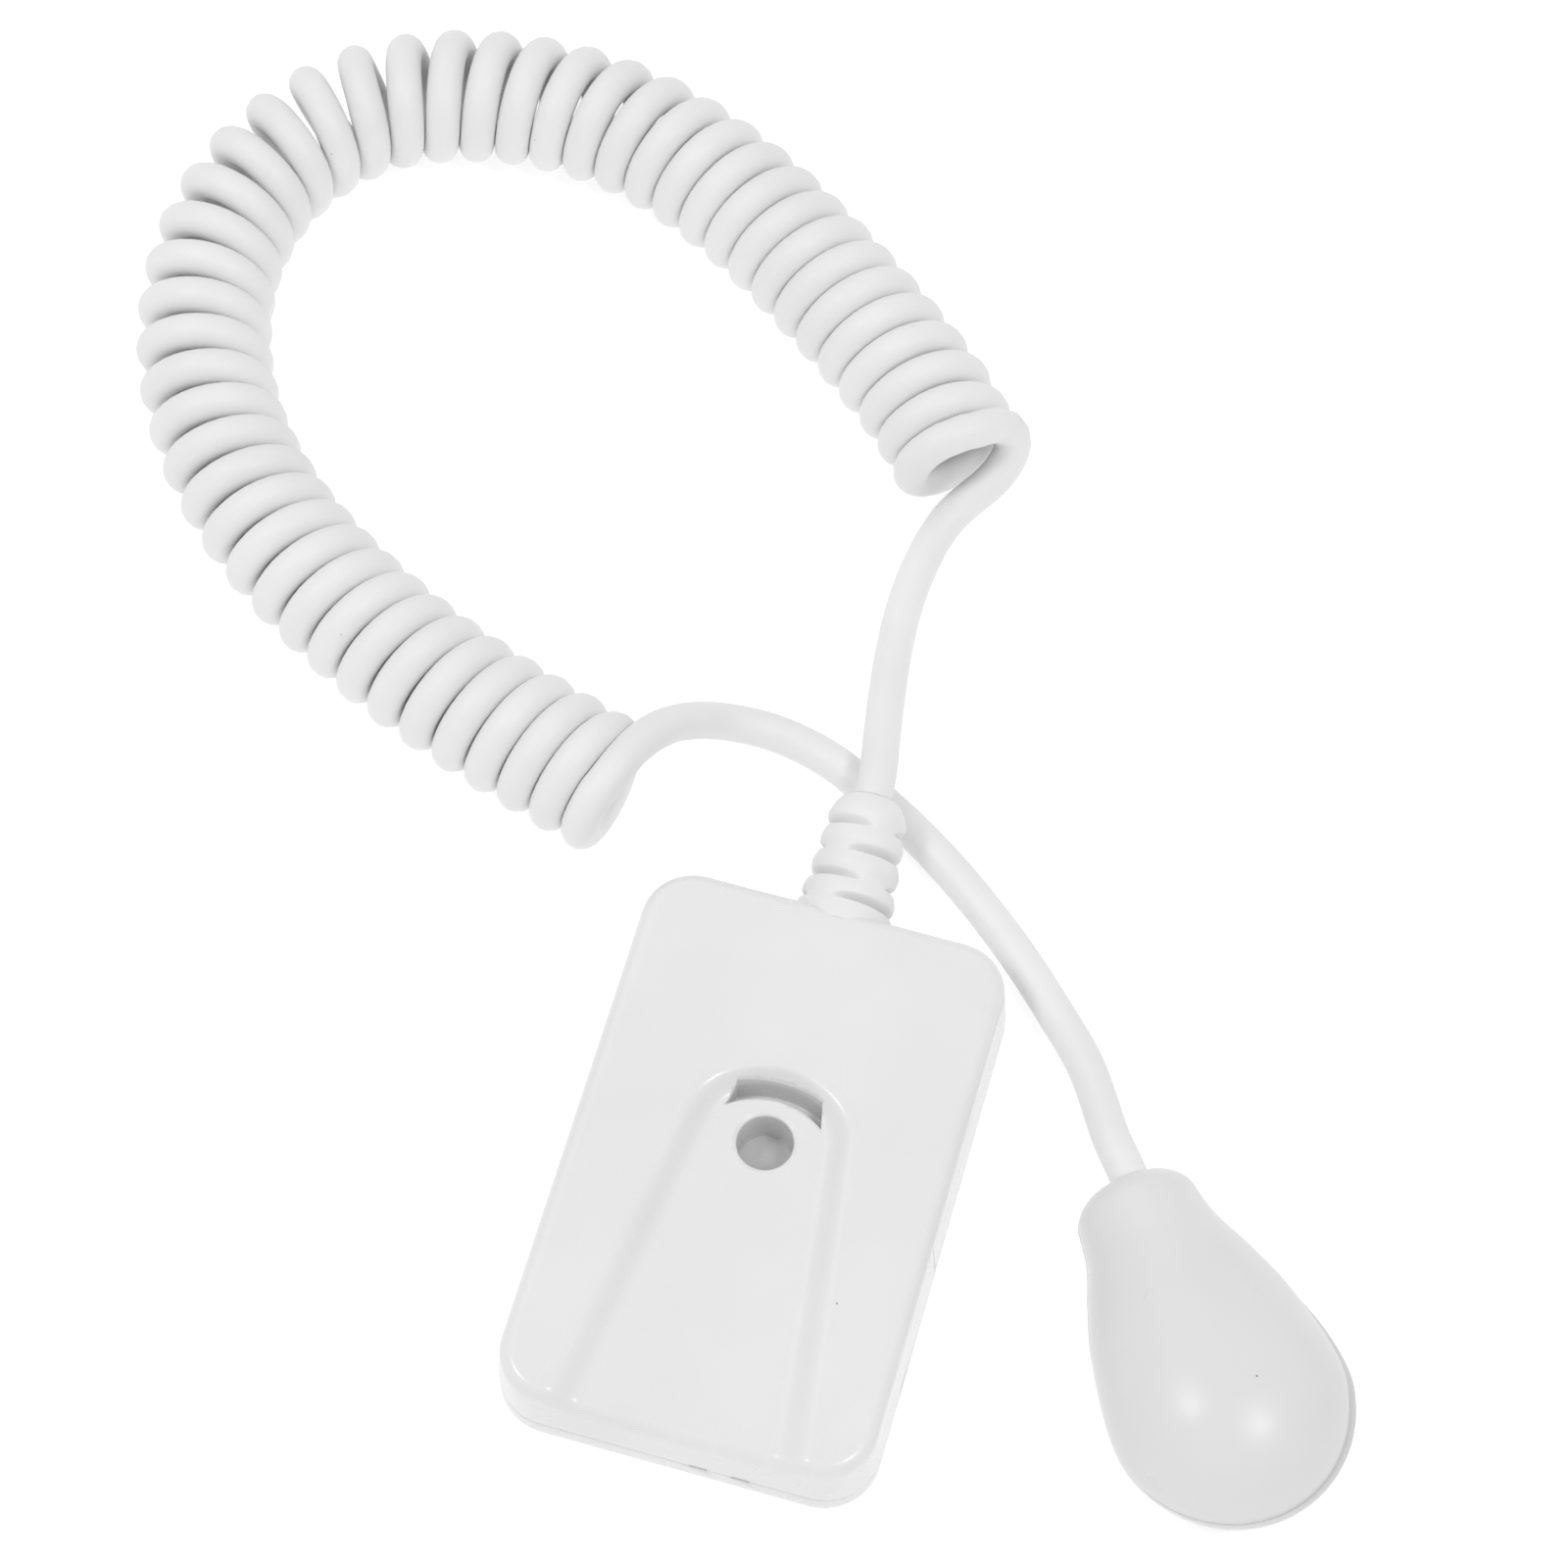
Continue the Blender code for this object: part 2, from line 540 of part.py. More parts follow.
def make_radio(can_finish, chip_finish, wire_finish):
    top = BOARD_Z + BOARD_THICK + GAP
    bm = bmesh.new()
    rounded_block(bm, 11 * MM, 13 * MM, top, top + 2.2 * MM, 0.8 * MM, top_round=0.3 * MM)
    bmesh.ops.translate(bm, vec=(12.5 * MM, -9 * MM, 0), verts=bm.verts)
    add("radio_module", bm, can_finish)
    for name, x, y, side, high in (("processor_chip", -11, -4, 7, 1.0), ("power_chip", -12, -15, 5, 1.2)):
        bm = bmesh.new()
        block(bm, ((x - side / 2) * MM, (y - side / 2) * MM, top),
              ((x + side / 2) * MM, (y + side / 2) * MM, top + high * MM))
        add(name, bm, chip_finish, smooth=False)
    # helical aerial lying along the board's bottom end
    turns = 6
    per_turn = 8
    coil = 1.1 * MM
    start = Vector((-9 * MM, -30 * MM, top + 0.35 * MM + coil))
    run = [start + Vector((18 * MM * t, coil * math.cos(2 * math.pi * turns * t),
                           coil * math.sin(2 * math.pi * turns * t)))
           for t in np.linspace(0, 1, turns * per_turn + 1)]
    tube("aerial", run, 0.3 * MM, wire_finish, resolution=1)


def make_cell(cell_finish, holder_finish, contact_finish):
    """A 20 mm coin cell in a moulded cup, with a sheet contact across its top."""
    x, y = -11.5 * MM, 22.5 * MM
    base = BOARD_Z + BOARD_THICK + GAP
    cell = 10.0 * MM
    bm = bmesh.new()
    disc(bm, (x, y), cell + 1.4 * MM, base, base + 2.9 * MM, 32)
    holder = add("cell_holder", bm, holder_finish)
    bm = bmesh.new()
    disc(bm, (x, y), cell + GAP, base + 0.6 * MM, base + 5 * MM, 32)
    boolean(holder, add("tool_holder_inside", bm))
    bm = bmesh.new()
    seat = base + 0.6 * MM + GAP
    disc(bm, (x, y), cell, seat, seat + 2.4 * MM, 32)
    coin = add("coin_cell", bm, cell_finish)
    bm = bmesh.new()
    disc(bm, (x, y), cell - 0.7 * MM, seat + 2.2 * MM, seat + 2.6 * MM, 32)
    boolean(coin, add("tool_cell_cap", bm), 'UNION')
    bm = bmesh.new()
    over = seat + 2.9 * MM
    block(bm, (x - 2.5 * MM, y - 4 * MM, over), (x + 13 * MM, y + 4 * MM, over + 0.4 * MM))
    contact = add("cell_contact", bm, contact_finish, smooth=False)
    bm = bmesh.new()
    block(bm, (x + 12.4 * MM, y - 4 * MM, base), (x + 13 * MM, y + 4 * MM, over + 0.2 * MM))
    boolean(contact, add("tool_contact_leg", bm), 'UNION')


def make_cord_connector(header_finish, plug_finish, wire_finish):
    """Four-way pin header on the board, its plug, and the cord's cores that run to it."""
    x, y = 8.0 * MM, 22.0 * MM
    base = BOARD_Z + BOARD_THICK + GAP
    bm = bmesh.new()
    block(bm, (x - 5 * MM, y - 2.5 * MM, base), (x + 5 * MM, y + 2.5 * MM, base + 1.6 * MM))
    add("cord_header", bm, header_finish, smooth=False)
    bm = bmesh.new()
    low = base + 1.6 * MM + GAP
    block(bm, (x - 4.6 * MM, y - 2.2 * MM, low), (x + 4.6 * MM, y + 2.2 * MM, low + 2.4 * MM))
    add("cord_plug", bm, plug_finish, smooth=False)
    plug_y = y + 2.2 * MM + GAP
    for i in range(4):
        side = (i - 1.5) * 1.7 * MM
        start = Vector((x + side, plug_y, low + 1.2 * MM))
        end = Vector((ENTRY_X + side, BOX_LENGTH / 2 - 5.0 * MM, ENTRY_Z + 1.6 * MM))
        path = [start, start + Vector((0, 2 * MM, 0)), end - Vector((0, 2 * MM, 0)), end]
        tube(f"box_core_{i + 1}", smooth_route(path, 2 * MM), 0.4 * MM, wire_finish, resolution=1)


# ---- Cord ---------------------------------------------------------------------------------------
def relief_axis(t):
    """Centre of the strain relief from the box wall (t = 0) to its tip (t = 1)."""
    bend = t * t * (3 - 2 * t) * 0.5 + t * 0.5
    return Vector((ENTRY_X * (1 - t * t), BOX_LENGTH / 2 + GAP + RELIEF_LENGTH * t,
                   ENTRY_Z + RELIEF_RISE * bend))


def make_strain_relief(finish):
    """A moulded sleeve: inner flange, neck through the wall, then four tapering rings."""
    wall = BOX_LENGTH / 2
    behind_wall = -BOX_WALL - BOX_DRAFT - GAP
    inside = [(behind_wall - 1.8 * MM, RELIEF_FLANGE), (behind_wall - 0.2 * MM, RELIEF_FLANGE),
              (behind_wall, RELIEF_NECK), (GAP * 0.5, RELIEF_NECK)]
    points = [Vector((ENTRY_X, wall + y, ENTRY_Z)) for y, _ in inside]
    radii = [radius / MM for _, radius in inside]
    crest = (0.04, 0.3, 0.7, 0.96)
    depth = (0.5, 0.0, 0.0, 0.5)
    for ring in range(RELIEF_RINGS):
        for part, low in zip(crest, depth):
            t = (ring + part) / RELIEF_RINGS
            radius = RELIEF_BASE + (RELIEF_TIP - RELIEF_BASE) * t
            points.append(relief_axis(t))
            radii.append(radius / MM - low)
    sleeve = tube("strain_relief", points, 1.0 * MM, resolution=6, radii=radii)
    sleeve = as_mesh(sleeve, finish)

    # flexing slots between the rings, on alternate sides of the top and of the underside
    bm = bmesh.new()
    for i in range(1, RELIEF_RINGS):
        centre = relief_axis(i / RELIEF_RINGS)
        for face in (-1, 1):
            side = face if i % 2 else -face
            low, high = sorted((centre.z + face * 2.9 * MM, centre.z + face * 8 * MM))
            left, right = sorted((centre.x - side * 1.6 * MM, centre.x + side * 8 * MM))
            block(bm, (left, centre.y - 0.45 * MM, low), (right, centre.y + 0.45 * MM, high))
    boolean(sleeve, add("tool_relief_slots", bm))


def make_cord(finish, coil_finish):
    box_lead = [Vector(p) * MM for p in LEAD_BOX_ROUTE]
    spacing = 1.1 * CORD_DIAMETER
    tube("cord_lead_box", smooth_route(box_lead, spacing), CORD_RADIUS, finish)
    coil = [Vector((x * MM, y * MM, COIL_RADIUS)) for x, y in COIL_ROUTE]
    tube("curly_coil", smooth_route(coil, 8 * MM), COIL_RADIUS, coil_finish, resolution=4)
    inside = [in_pear((PEAR_CORD_X, y * MM, 0)) for y in (40, 36, 31, 27)]
    pear_lead = [Vector(p) * MM for p in LEAD_PEAR_ROUTE] + inside
    tube("cord_lead_pear", smooth_route(pear_lead, spacing), CORD_RADIUS, finish)


# ---- Handset ------------------------------------------------------------------------------------
def pear_matrix():
    turn = (Matrix.Rotation(PEAR_HEADING, 4, 'Z') @ Matrix.Rotation(PEAR_PITCH, 4, 'X')
            @ Matrix.Rotation(PEAR_ROLL, 4, 'Y'))
    return Matrix.Translation(PEAR_ORIGIN) @ turn


def in_pear(point):
    """World position of a point given in the handset's own frame."""
    return pear_matrix() @ Vector(point)


def pear_outline():
    """Half width against position along the axis, from the neck's end to the bulb's far end."""
    flank = [(0.0, 32.0), (3.5, 31.8), (6.3, 30.9), (8.0, 29.0), (8.5, 26.4), (9.1, 23.4), (11.2, 18.0),
             (13.3, 12.0), (14.7, 6.0), (15.5, 0.5)]
    points = [Vector((w, y, 0)) * MM for w, y in flank]
    points += [Vector((PEAR_HALF * math.cos(a), -PEAR_TAIL * math.sin(a), 0))
               for a in np.radians(np.linspace(-12, -84, 8))]
    points.append(Vector((0, PEAR_TAIL, 0)))
    return smooth_route(points, 2.8 * MM)


def pear_form(bm, inset, around=30):
    """The handset's body: the outline carried round, taller at the back than at the front."""
    outline = pear_outline()
    rows = []
    for a, b, c in zip(outline, outline[1:], outline[2:]):
        along = (c - a).normalized()
        outward = Vector((-along.y, along.x, 0))
        outward = outward if outward.x > 0 else -outward
        point = b - outward * inset
        share = min(1.0, max(0.0, (b.y - PEAR_TAIL * 0.2) / (PEAR_END * 0.85)))
        rear = PEAR_REAR + (PEAR_NECK_REAR - PEAR_REAR) * share
        front = PEAR_FRONT + (PEAR_NECK_FRONT - PEAR_FRONT) * share
        half = PEAR_HALF + (PEAR_NECK_HALF - PEAR_HALF) * share
        ring = []
        for i in range(around):
            angle = 2 * math.pi * i / around
            height = rear if math.sin(angle) > 0 else front
            scale = (height - inset) / max(half - inset, MM)
            ring.append((point.x * math.cos(angle), point.y, point.x * math.sin(angle) * scale))
        rows.append(ring)
    loft(bm, rows)


def make_pear(shell_finish, button_finish, inner_finish, steel, dark, board_finish, wire_finish):
    mount = bpy.data.objects.new("handset_place", None)
    mount.matrix_world = pear_matrix()
    PARTS.objects.link(mount)
    slide = bpy.data.objects.new("push_button_slide", None)
    slide.parent = mount
    slide.location = (0, 0, BUTTON_FACE)
    PARTS.objects.link(slide)
    make_pear_rear(shell_finish, mount)
    make_pear_front(shell_finish, mount)
    make_push_button(button_finish, inner_finish, steel, dark, mount, slide)
    make_pear_inside(steel, board_finish, wire_finish, inner_finish, mount)


def make_pear_rear(finish, mount):
    bm = bmesh.new()
    pear_form(bm, 0.0)
    shell = add("pear_rear_shell", bm, finish, mount)
    bm = bmesh.new()
    block(bm, (-30 * MM, -30 * MM, -30 * MM), (30 * MM, 45 * MM, GAP / 2))
    boolean(shell, add("tool_rear_half", bm, parent=mount))
    bm = bmesh.new()
    pear_form(bm, PEAR_WALL)
    boolean(shell, add("tool_rear_hollow", bm, parent=mount))
    bm = bmesh.new()
    boss_low = SWITCH_BOARD_Z + SWITCH_BOARD_THICK + GAP
    for x, y in pear_screw_places():
        disc(bm, (x, y), PEAR_BOSS, boss_low, PEAR_BOSS_TOP, 18)
    boolean(shell, add("tool_rear_bosses", bm, parent=mount), 'UNION')
    bm = bmesh.new()
    for x, y in pear_screw_places():
        disc(bm, (x, y), PILOT_RADIUS, 0.0, PEAR_BOSS_TOP - 0.6 * MM, 12)
    boolean(shell, add("tool_rear_pilots", bm, parent=mount))
    boolean(shell, neck_hole_tool("tool_rear_neck_hole", mount))


def pear_screw_places():
    return [(-PEAR_SCREW_X, PEAR_SCREW_Y), (PEAR_SCREW_X, PEAR_SCREW_Y)]


def neck_hole_tool(name, mount):
    bm = bmesh.new()
    rod(bm, (PEAR_CORD_X, PEAR_END - 5 * MM, 0), (PEAR_CORD_X, PEAR_END + 3 * MM, 0), CORD_RADIUS + GAP, 20)
    return add(name, bm, parent=mount)


def make_pear_front(finish, mount):
    bm = bmesh.new()
    pear_form(bm, -PEAR_LIP)
    shell = add("pear_front_shell", bm, finish, mount)
    bm = bmesh.new()
    disc(bm, (0, 0), COLLAR_RADIUS, COLLAR_FACE, -4 * MM, 48, COLLAR_RADIUS + 0.6 * MM)
    boolean(shell, add("tool_collar", bm, parent=mount), 'UNION')
    bm = bmesh.new()
    block(bm, (-30 * MM, -30 * MM, -GAP / 2), (30 * MM, 45 * MM, 30 * MM))
    boolean(shell, add("tool_front_half", bm, parent=mount))
    bm = bmesh.new()
    pear_form(bm, PEAR_WALL)
    hollow = add("tool_front_hollow", bm, parent=mount)
    bm = bmesh.new()
    for x, y in pear_screw_places():
        disc(bm, (x, y), PEAR_POST, -20 * MM, 5 * MM, 18)
    boolean(hollow, add("tool_hollow_keep", bm, parent=mount))
    boolean(shell, hollow)
    bm = bmesh.new()
    disc(bm, (0, 0), BUTTON_FLANGE + GAP, COLLAR_FACE + COLLAR_LIP, 2 * MM, 40)
    boolean(shell, add("tool_button_bore", bm, parent=mount))
    bm = bmesh.new()
    disc(bm, (0, 0), BUTTON_RADIUS + GAP, COLLAR_FACE - 2 * MM, 3 * MM, 40)
    for x, y in pear_screw_places():
        disc(bm, (x, y), 1.25 * MM, -12 * MM, 3 * MM, 12)
    boolean(shell, add("tool_front_openings", bm, parent=mount))
    bm = bmesh.new()
    for x, y in pear_screw_places():
        disc(bm, (x, y), 2.4 * MM, -13 * MM, -3.8 * MM, 16)
    boolean(shell, add("tool_screw_recesses", bm, parent=mount))
    boolean(shell, neck_hole_tool("tool_front_neck_hole", mount))


def make_push_button(finish, plunger_finish, steel, dark, mount, slide):
    """Button cap with its flange and stem; local heights here are from the button's face."""
    flange = COLLAR_FACE + COLLAR_LIP + GAP - BUTTON_FACE
    bm = bmesh.new()
    disc(bm, (0, 0), BUTTON_RADIUS - 0.8 * MM, 0.0, 0.6 * MM, 40, BUTTON_RADIUS)
    cap = add("push_button", bm, finish, slide)
    bm = bmesh.new()
    disc(bm, (0, 0), BUTTON_RADIUS, 0.5 * MM, flange + 0.5 * MM, 40)
    body = add("tool_button_body", bm, parent=slide)
    bm = bmesh.new()
    disc(bm, (0, 0), BUTTON_FLANGE, flange, flange + 1.0 * MM, 40)
    boolean(body, add("tool_button_flange", bm, parent=slide), 'UNION')
    bm = bmesh.new()
    stem_top = flange + 1.9 * MM
    disc(bm, (0, 0), 1.3 * MM, flange + 0.5 * MM, stem_top, 20)
    boolean(body, add("tool_button_stem", bm, parent=slide), 'UNION')
    boolean(cap, body, 'UNION')

    switch_low = stem_top + BUTTON_FACE + GAP + 0.7 * MM
    switch_high = SWITCH_BOARD_Z - GAP
    bm = bmesh.new()
    block(bm, (-3.2 * MM, -3.2 * MM, switch_low), (3.2 * MM, 3.2 * MM, switch_high))
    switch = add("push_switch", bm, dark, mount, smooth=False)
    bm = bmesh.new()
    plunger_top = stem_top + GAP + 1.6 * MM
    bore_top = plunger_top + BUTTON_FACE + BUTTON_TRAVEL + 0.2 * MM
    disc(bm, (0, 0), PLUNGER_BORE, switch_low - PAST, bore_top, 20)
    boolean(switch, add("tool_push_switch_bore", bm, parent=mount))
    bm = bmesh.new()
    disc(bm, (0, 0), PLUNGER_RADIUS, stem_top + GAP, plunger_top, 20)
    add("push_switch_plunger", bm, plunger_finish, slide)

    # return spring between the button's flange and the board
    low = flange + 1.0 * MM + BUTTON_FACE + GAP + 0.3 * MM
    high = switch_high - 0.3 * MM
    turns = 3
    ring = 6.0 * MM
    run = [(ring * math.cos(2 * math.pi * turns * t), ring * math.sin(2 * math.pi * turns * t),
            low + (high - low) * t) for t in np.linspace(0, 1, turns * 12 + 1)]
    tube("button_spring", run, 0.3 * MM, steel, resolution=1, parent=mount)


def make_pear_inside(steel, board_finish, wire_finish, clamp_finish, mount):
    top = SWITCH_BOARD_Z + SWITCH_BOARD_THICK
    bm = bmesh.new()
    disc(bm, (0, 0), 12.6 * MM, SWITCH_BOARD_Z, top, 40)
    board = add("switch_board", bm, board_finish, mount, smooth=False)
    bm = bmesh.new()
    rounded_block(bm, 18 * MM, 15 * MM, SWITCH_BOARD_Z, top, 2 * MM)
    bmesh.ops.translate(bm, vec=(0, 10.3 * MM, 0), verts=bm.verts)
    boolean(board, add("tool_board_tail", bm, parent=mount), 'UNION')
    bm = bmesh.new()
    for x, y in pear_screw_places():
        disc(bm, (x, y), SCREW_HOLE, 0.0, 3 * MM, 12)
    boolean(board, add("tool_tail_holes", bm, parent=mount))
    make_screws("pear_screw", pear_screw_places(), -4.1 * MM, 9.6 * MM, steel, mount, up=-1)

    # clamp bar across the cord's end, held down by the rear shell
    bm = bmesh.new()
    over = CORD_RADIUS + GAP
    block(bm, (-3.6 * MM, 26.8 * MM, over), (3.6 * MM, 28.6 * MM, over + 1.0 * MM))
    add("cord_clamp", bm, clamp_finish, mount, smooth=False)

    for i in range(4):
        side = (i - 1.5) * 1.3 * MM
        in_cord = side + PEAR_CORD_X
        path = [Vector((in_cord, 26.3 * MM, 0.2 * MM)), Vector((in_cord, 23.5 * MM, 0.9 * MM)),
                Vector((side, 20 * MM, 2.2 * MM)), Vector((side, 14 * MM, 2.6 * MM))]
        tube(f"pear_core_{i + 1}", smooth_route(path, 2 * MM), 0.45 * MM, wire_finish, resolution=1,
             parent=mount)


# ---- The whole set --------------------------------------------------------------------------------
def build():
    white = material("white_abs", (0.82, 0.82, 0.81), 0.35)
    soft_white = material("white_elastomer", (0.80, 0.80, 0.80), 0.5)
    grey = material("grey_key", (0.45, 0.47, 0.5), 0.45)
    red = material("red_button", (0.62, 0.05, 0.04), 0.4)
    dark = material("black_plastic", (0.03, 0.03, 0.03), 0.5)
    green = material("board_green", (0.02, 0.16, 0.07), 0.5)
    steel = material("steel", (0.62, 0.62, 0.62), 0.3, 1.0)
    copper = material("copper_wire", (0.72, 0.36, 0.2), 0.35, 1.0)
    amber = material("lamp_clear", (0.85, 0.75, 0.55), 0.2)
    insulation = material("wire_insulation", (0.5, 0.1, 0.08), 0.5)

    make_rear_cover(white)
    make_front_cover(white)
    make_call_key(grey, dark, white)
    make_circuit_board(green)
    make_screws("board_screw", board_screw_places(), BOARD_Z + BOARD_THICK + GAP, 3.4 * MM, steel)
    make_lamp(amber, amber)
    make_radio(steel, dark, copper)
    make_cell(steel, dark, steel)
    make_cord_connector(soft_white, soft_white, insulation)
    make_strain_relief(soft_white)
    make_cord(soft_white, soft_white)
    make_pear(white, red, white, steel, dark, green, insulation)


clear_scene()
PARTS = collection("call_switch_set")
TOOLS = collection("cutting_tools")
build()
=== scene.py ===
"""Looks for the call switch set: a wall box lying on its front face, a curly cord and a push handset."""

import json
import math

import bmesh
import bpy
import numpy as np
from mathutils import Matrix, Vector


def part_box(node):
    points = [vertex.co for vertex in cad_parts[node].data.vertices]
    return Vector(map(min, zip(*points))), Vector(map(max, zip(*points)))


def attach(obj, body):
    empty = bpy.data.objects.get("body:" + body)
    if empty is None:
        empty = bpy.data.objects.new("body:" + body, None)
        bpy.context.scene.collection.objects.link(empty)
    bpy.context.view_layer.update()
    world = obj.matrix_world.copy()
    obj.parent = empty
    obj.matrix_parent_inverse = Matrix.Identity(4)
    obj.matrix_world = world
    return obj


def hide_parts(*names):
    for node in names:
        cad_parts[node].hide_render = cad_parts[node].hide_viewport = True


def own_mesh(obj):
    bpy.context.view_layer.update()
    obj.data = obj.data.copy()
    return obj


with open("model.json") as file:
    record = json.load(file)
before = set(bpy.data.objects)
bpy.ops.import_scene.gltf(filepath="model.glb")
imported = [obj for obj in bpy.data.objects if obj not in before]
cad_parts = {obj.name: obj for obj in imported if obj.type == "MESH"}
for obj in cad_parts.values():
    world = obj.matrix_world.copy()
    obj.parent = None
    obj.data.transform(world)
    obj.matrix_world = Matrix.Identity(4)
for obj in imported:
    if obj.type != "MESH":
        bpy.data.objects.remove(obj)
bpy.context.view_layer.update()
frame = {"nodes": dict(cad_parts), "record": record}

MM = 0.001
HOUSING = "housing"

# ---- Box, in millimetres ----------------------------------------------------------------------
HALF_X, HALF_Y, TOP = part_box("rear_cover")[1] / MM
CORNER = 7.5
TOP_ROUND = 1.9
FRONT_ROUND = 1.0
DRAFT = 0.6                 # how far a wall leans in over the rear cover's height
SEAM = 4.0                  # top of the front cover
SEAM_GAP = 0.14
WALL = 1.8
PLATE = 1.7                 # thickness behind the rear face
REAR_STEPS = (20, 90, 156)  # divisions of the rear cover's corners, ends and long sides
FRONT_STEPS = (20, 6, 10)
RECESS_DEPTH = 2.0
FLOOR = TOP - RECESS_DEPTH  # of the recess
WELL_Y = 3.85
WELL_RADIUS = 3.76
WELL_DEPTH = 7.4
WELL_WALL = 1.2
WELL_LIP = 0.42             # radius of the well's rounded mouth
SIDE_MID, CROWN_MID, END_MID = 9.65, 9.2, 9.3           # half way up the slope: sides, crown, open end
SIDE_SLOPE, CROWN_SLOPE, END_SLOPE = 1.9, 1.15, 2.5     # half the slope's width at the same places
SIDE_LEAN = math.radians(8.22)      # how far each side of the recess turns out from straight
CROWN_FROM, CROWN_TO = 0.35, 1.25   # radians up the arch where its slope changes to the crown's
SLOT_CENTRE_Y = WELL_Y - 4.8        # both arcs of the slot are struck from here
SLOT_INNER, SLOT_OUTER = 10.8, 13.3
SLOT_INNER_HALF, SLOT_OUTER_HALF = 6.5, 5.8
SLOT_DEPTH = 4.0
SLOT_TAPER = 0.6            # the outer side leans in towards the slot's floor
SLOT_WALL = 0.8
SLOT_EDGE = 0.22            # radius of the slot's rounded edge
ENTRY_X, ENTRY_Z = 0.6, 6.9
ENTRY_RADIUS = 4.3
FLANGE_RADIUS = 4.9         # the relief's flange, held behind the end wall
FLANGE_ROOM = 5.2
KEY_Y, KEY_HOLE = -19.0, 11.3
LAMP_Y, LAMP_HOLE = 26.0, 2.3
FRONT_PLATE = 1.6
TONGUE_OUTSIDE, TONGUE_INSIDE, TONGUE_RISE = 2.25, 3.25, 1.2
POSTS = [(side * 18.5, y) for y in (-28.0, 8.0) for side in (-1, 1)]
POST_RADIUS, POST_HEIGHTS = 2.2, (1.2, 5.1)
PILOT_RADIUS, PILOT_HEIGHTS = 1.2, (2.0, 6.5)
PRY_END_X, PRY_SIDE_Y = (3.3, 8.9), -19.8
PRY_DEPTH, PRY_HALF, PRY_HIGH = 0.55, 1.15, 0.34
TICK_DEPTH, TICK_Y = 0.72, (-4.4, -4.18)                # fine upright nick in one long side
PAST = 1.0                  # how far a cutting tool stands out of what it cuts

# ---- Cord, in millimetres ---------------------------------------------------------------------
CORD_RADIUS = 2.6
COIL_RADIUS = 9.75
HELIX_RADIUS = COIL_RADIUS - CORD_RADIUS
TURN_STEP = 1.02            # spacing of the turns on the inside of a bend, in cord diameters
TURNS = 45
POINTS_PER_TURN = 28
COIL_START, COIL_END = math.radians(105), math.radians(85)     # where on the helix each lead joins it
COIL_STEP, LEAD_STEP = 0.25, 1.6        # spacing of the points along the coil's middle and the leads
EVEN_STEPS = 41             # points that the coil's direction is averaged over
TIGHT_BEND = 0.08           # sharpest bend of the coil's middle that the pitch allows for, per mm
RELIEF_LENGTH, RELIEF_RISE = 17.2, 2.8
# the cord's middle, chosen along the photo's cord: to the coil, the coil's own middle, and on
LEAD_BOX_ROUTE = [
    (0.0, 55.6, 9.6), (-0.3, 60.4, 9.5), (-1.3, 65.9, 7.9), (-2.8, 74.4, 5.2), (-4.0, 82.7, 3.3),
    (-4.5, 89.9, 2.65), (-4.2, 96.5, 2.7), (-3.3, 101.8, 3.1), (-2.1, 105.1, 3.8), (-0.4, 107.9, 4.7),
    (1.9, 110.6, 6.0), (3.7, 113.5, 7.8), (4.3, 115.8, 10.2), (3.5, 116.4, 12.8), (1.6, 115.4, 15.0),
]
COIL_ROUTE = [
    (-2.2, 111.6), (-8.4, 118.6), (-17.0, 126.1), (-25.3, 132.5), (-33.5, 138.3), (-42.0, 143.7),
    (-51.2, 148.3), (-61.3, 151.9), (-72.2, 153.4), (-83.8, 152.6), (-93.6, 149.8), (-102.0, 145.0),
    (-108.8, 137.4), (-113.2, 128.0), (-114.8, 117.3), (-113.5, 106.2), (-109.8, 95.6),
    (-103.8, 85.8), (-95.6, 77.0), (-86.4, 69.9), (-76.4, 64.0), (-66.0, 58.9), (-55.6, 54.9),
    (-45.6, 51.7), (-33.8, 48.2),
]
LEAD_PEAR_ROUTE = [
    (-32.7, 51.8, 16.2), (-31.6, 54.6, 15.0), (-30.2, 57.5, 13.2), (-28.4, 60.2, 10.8), (-26.0, 62.7, 7.9),
    (-22.8, 64.9, 4.9), (-17.9, 66.0, 3.1), (-12.7, 65.5, 2.65), (-7.1, 63.8, 2.65), (-1.4, 60.9, 2.65),
    (4.4, 57.7, 2.65), (10.8, 53.6, 2.65), (18.0, 48.2, 2.65), (25.0, 42.2, 2.65), (31.6, 35.6, 3.0),
    (37.5, 28.6, 4.6),
]

# ---- Handset, in millimetres: local +Y to the neck, local +Z out of its back --------------------
PEAR_PLACE = (Matrix.Translation(Vector((65.8, -13.25, 10.7))) @ Matrix.Rotation(math.radians(36.6), 4, 'Z')
              @ Matrix.Rotation(math.radians(-5), 4, 'X') @ Matrix.Rotation(math.radians(-4), 4, 'Y'))
PEAR_REAR, PEAR_FRONT = 11.6, 9.0       # height of each half above the split, at the bulb
NECK_REAR, NECK_FRONT = 7.8, 7.4        # and at the neck
PEAR_WALL = 1.7
PEAR_LIP, NECK_LIP = 0.25, 0.06         # how far the front half stands out past the back one
SPLIT_GAP = 0.04
RIM_PUSH = (0.42, -0.38)    # the front half's rim sits a little off centre round the bulb
RIM_FADE = (3.0, 14.0)      # and lines up again between these places along the flank
PEAR_END, PEAR_TAIL = 32.0, -17.2
PEAR_HALF, PEAR_NECK_HALF = 15.8, 8.5
PEAR_FLANK = [
    (0.0, 32.0), (3.5, 31.8), (6.3, 30.9), (8.0, 29.0), (8.5, 26.4), (9.1, 23.4), (11.2, 18.0),
    (13.3, 12.0), (14.7, 6.0), (15.5, 0.5),
]
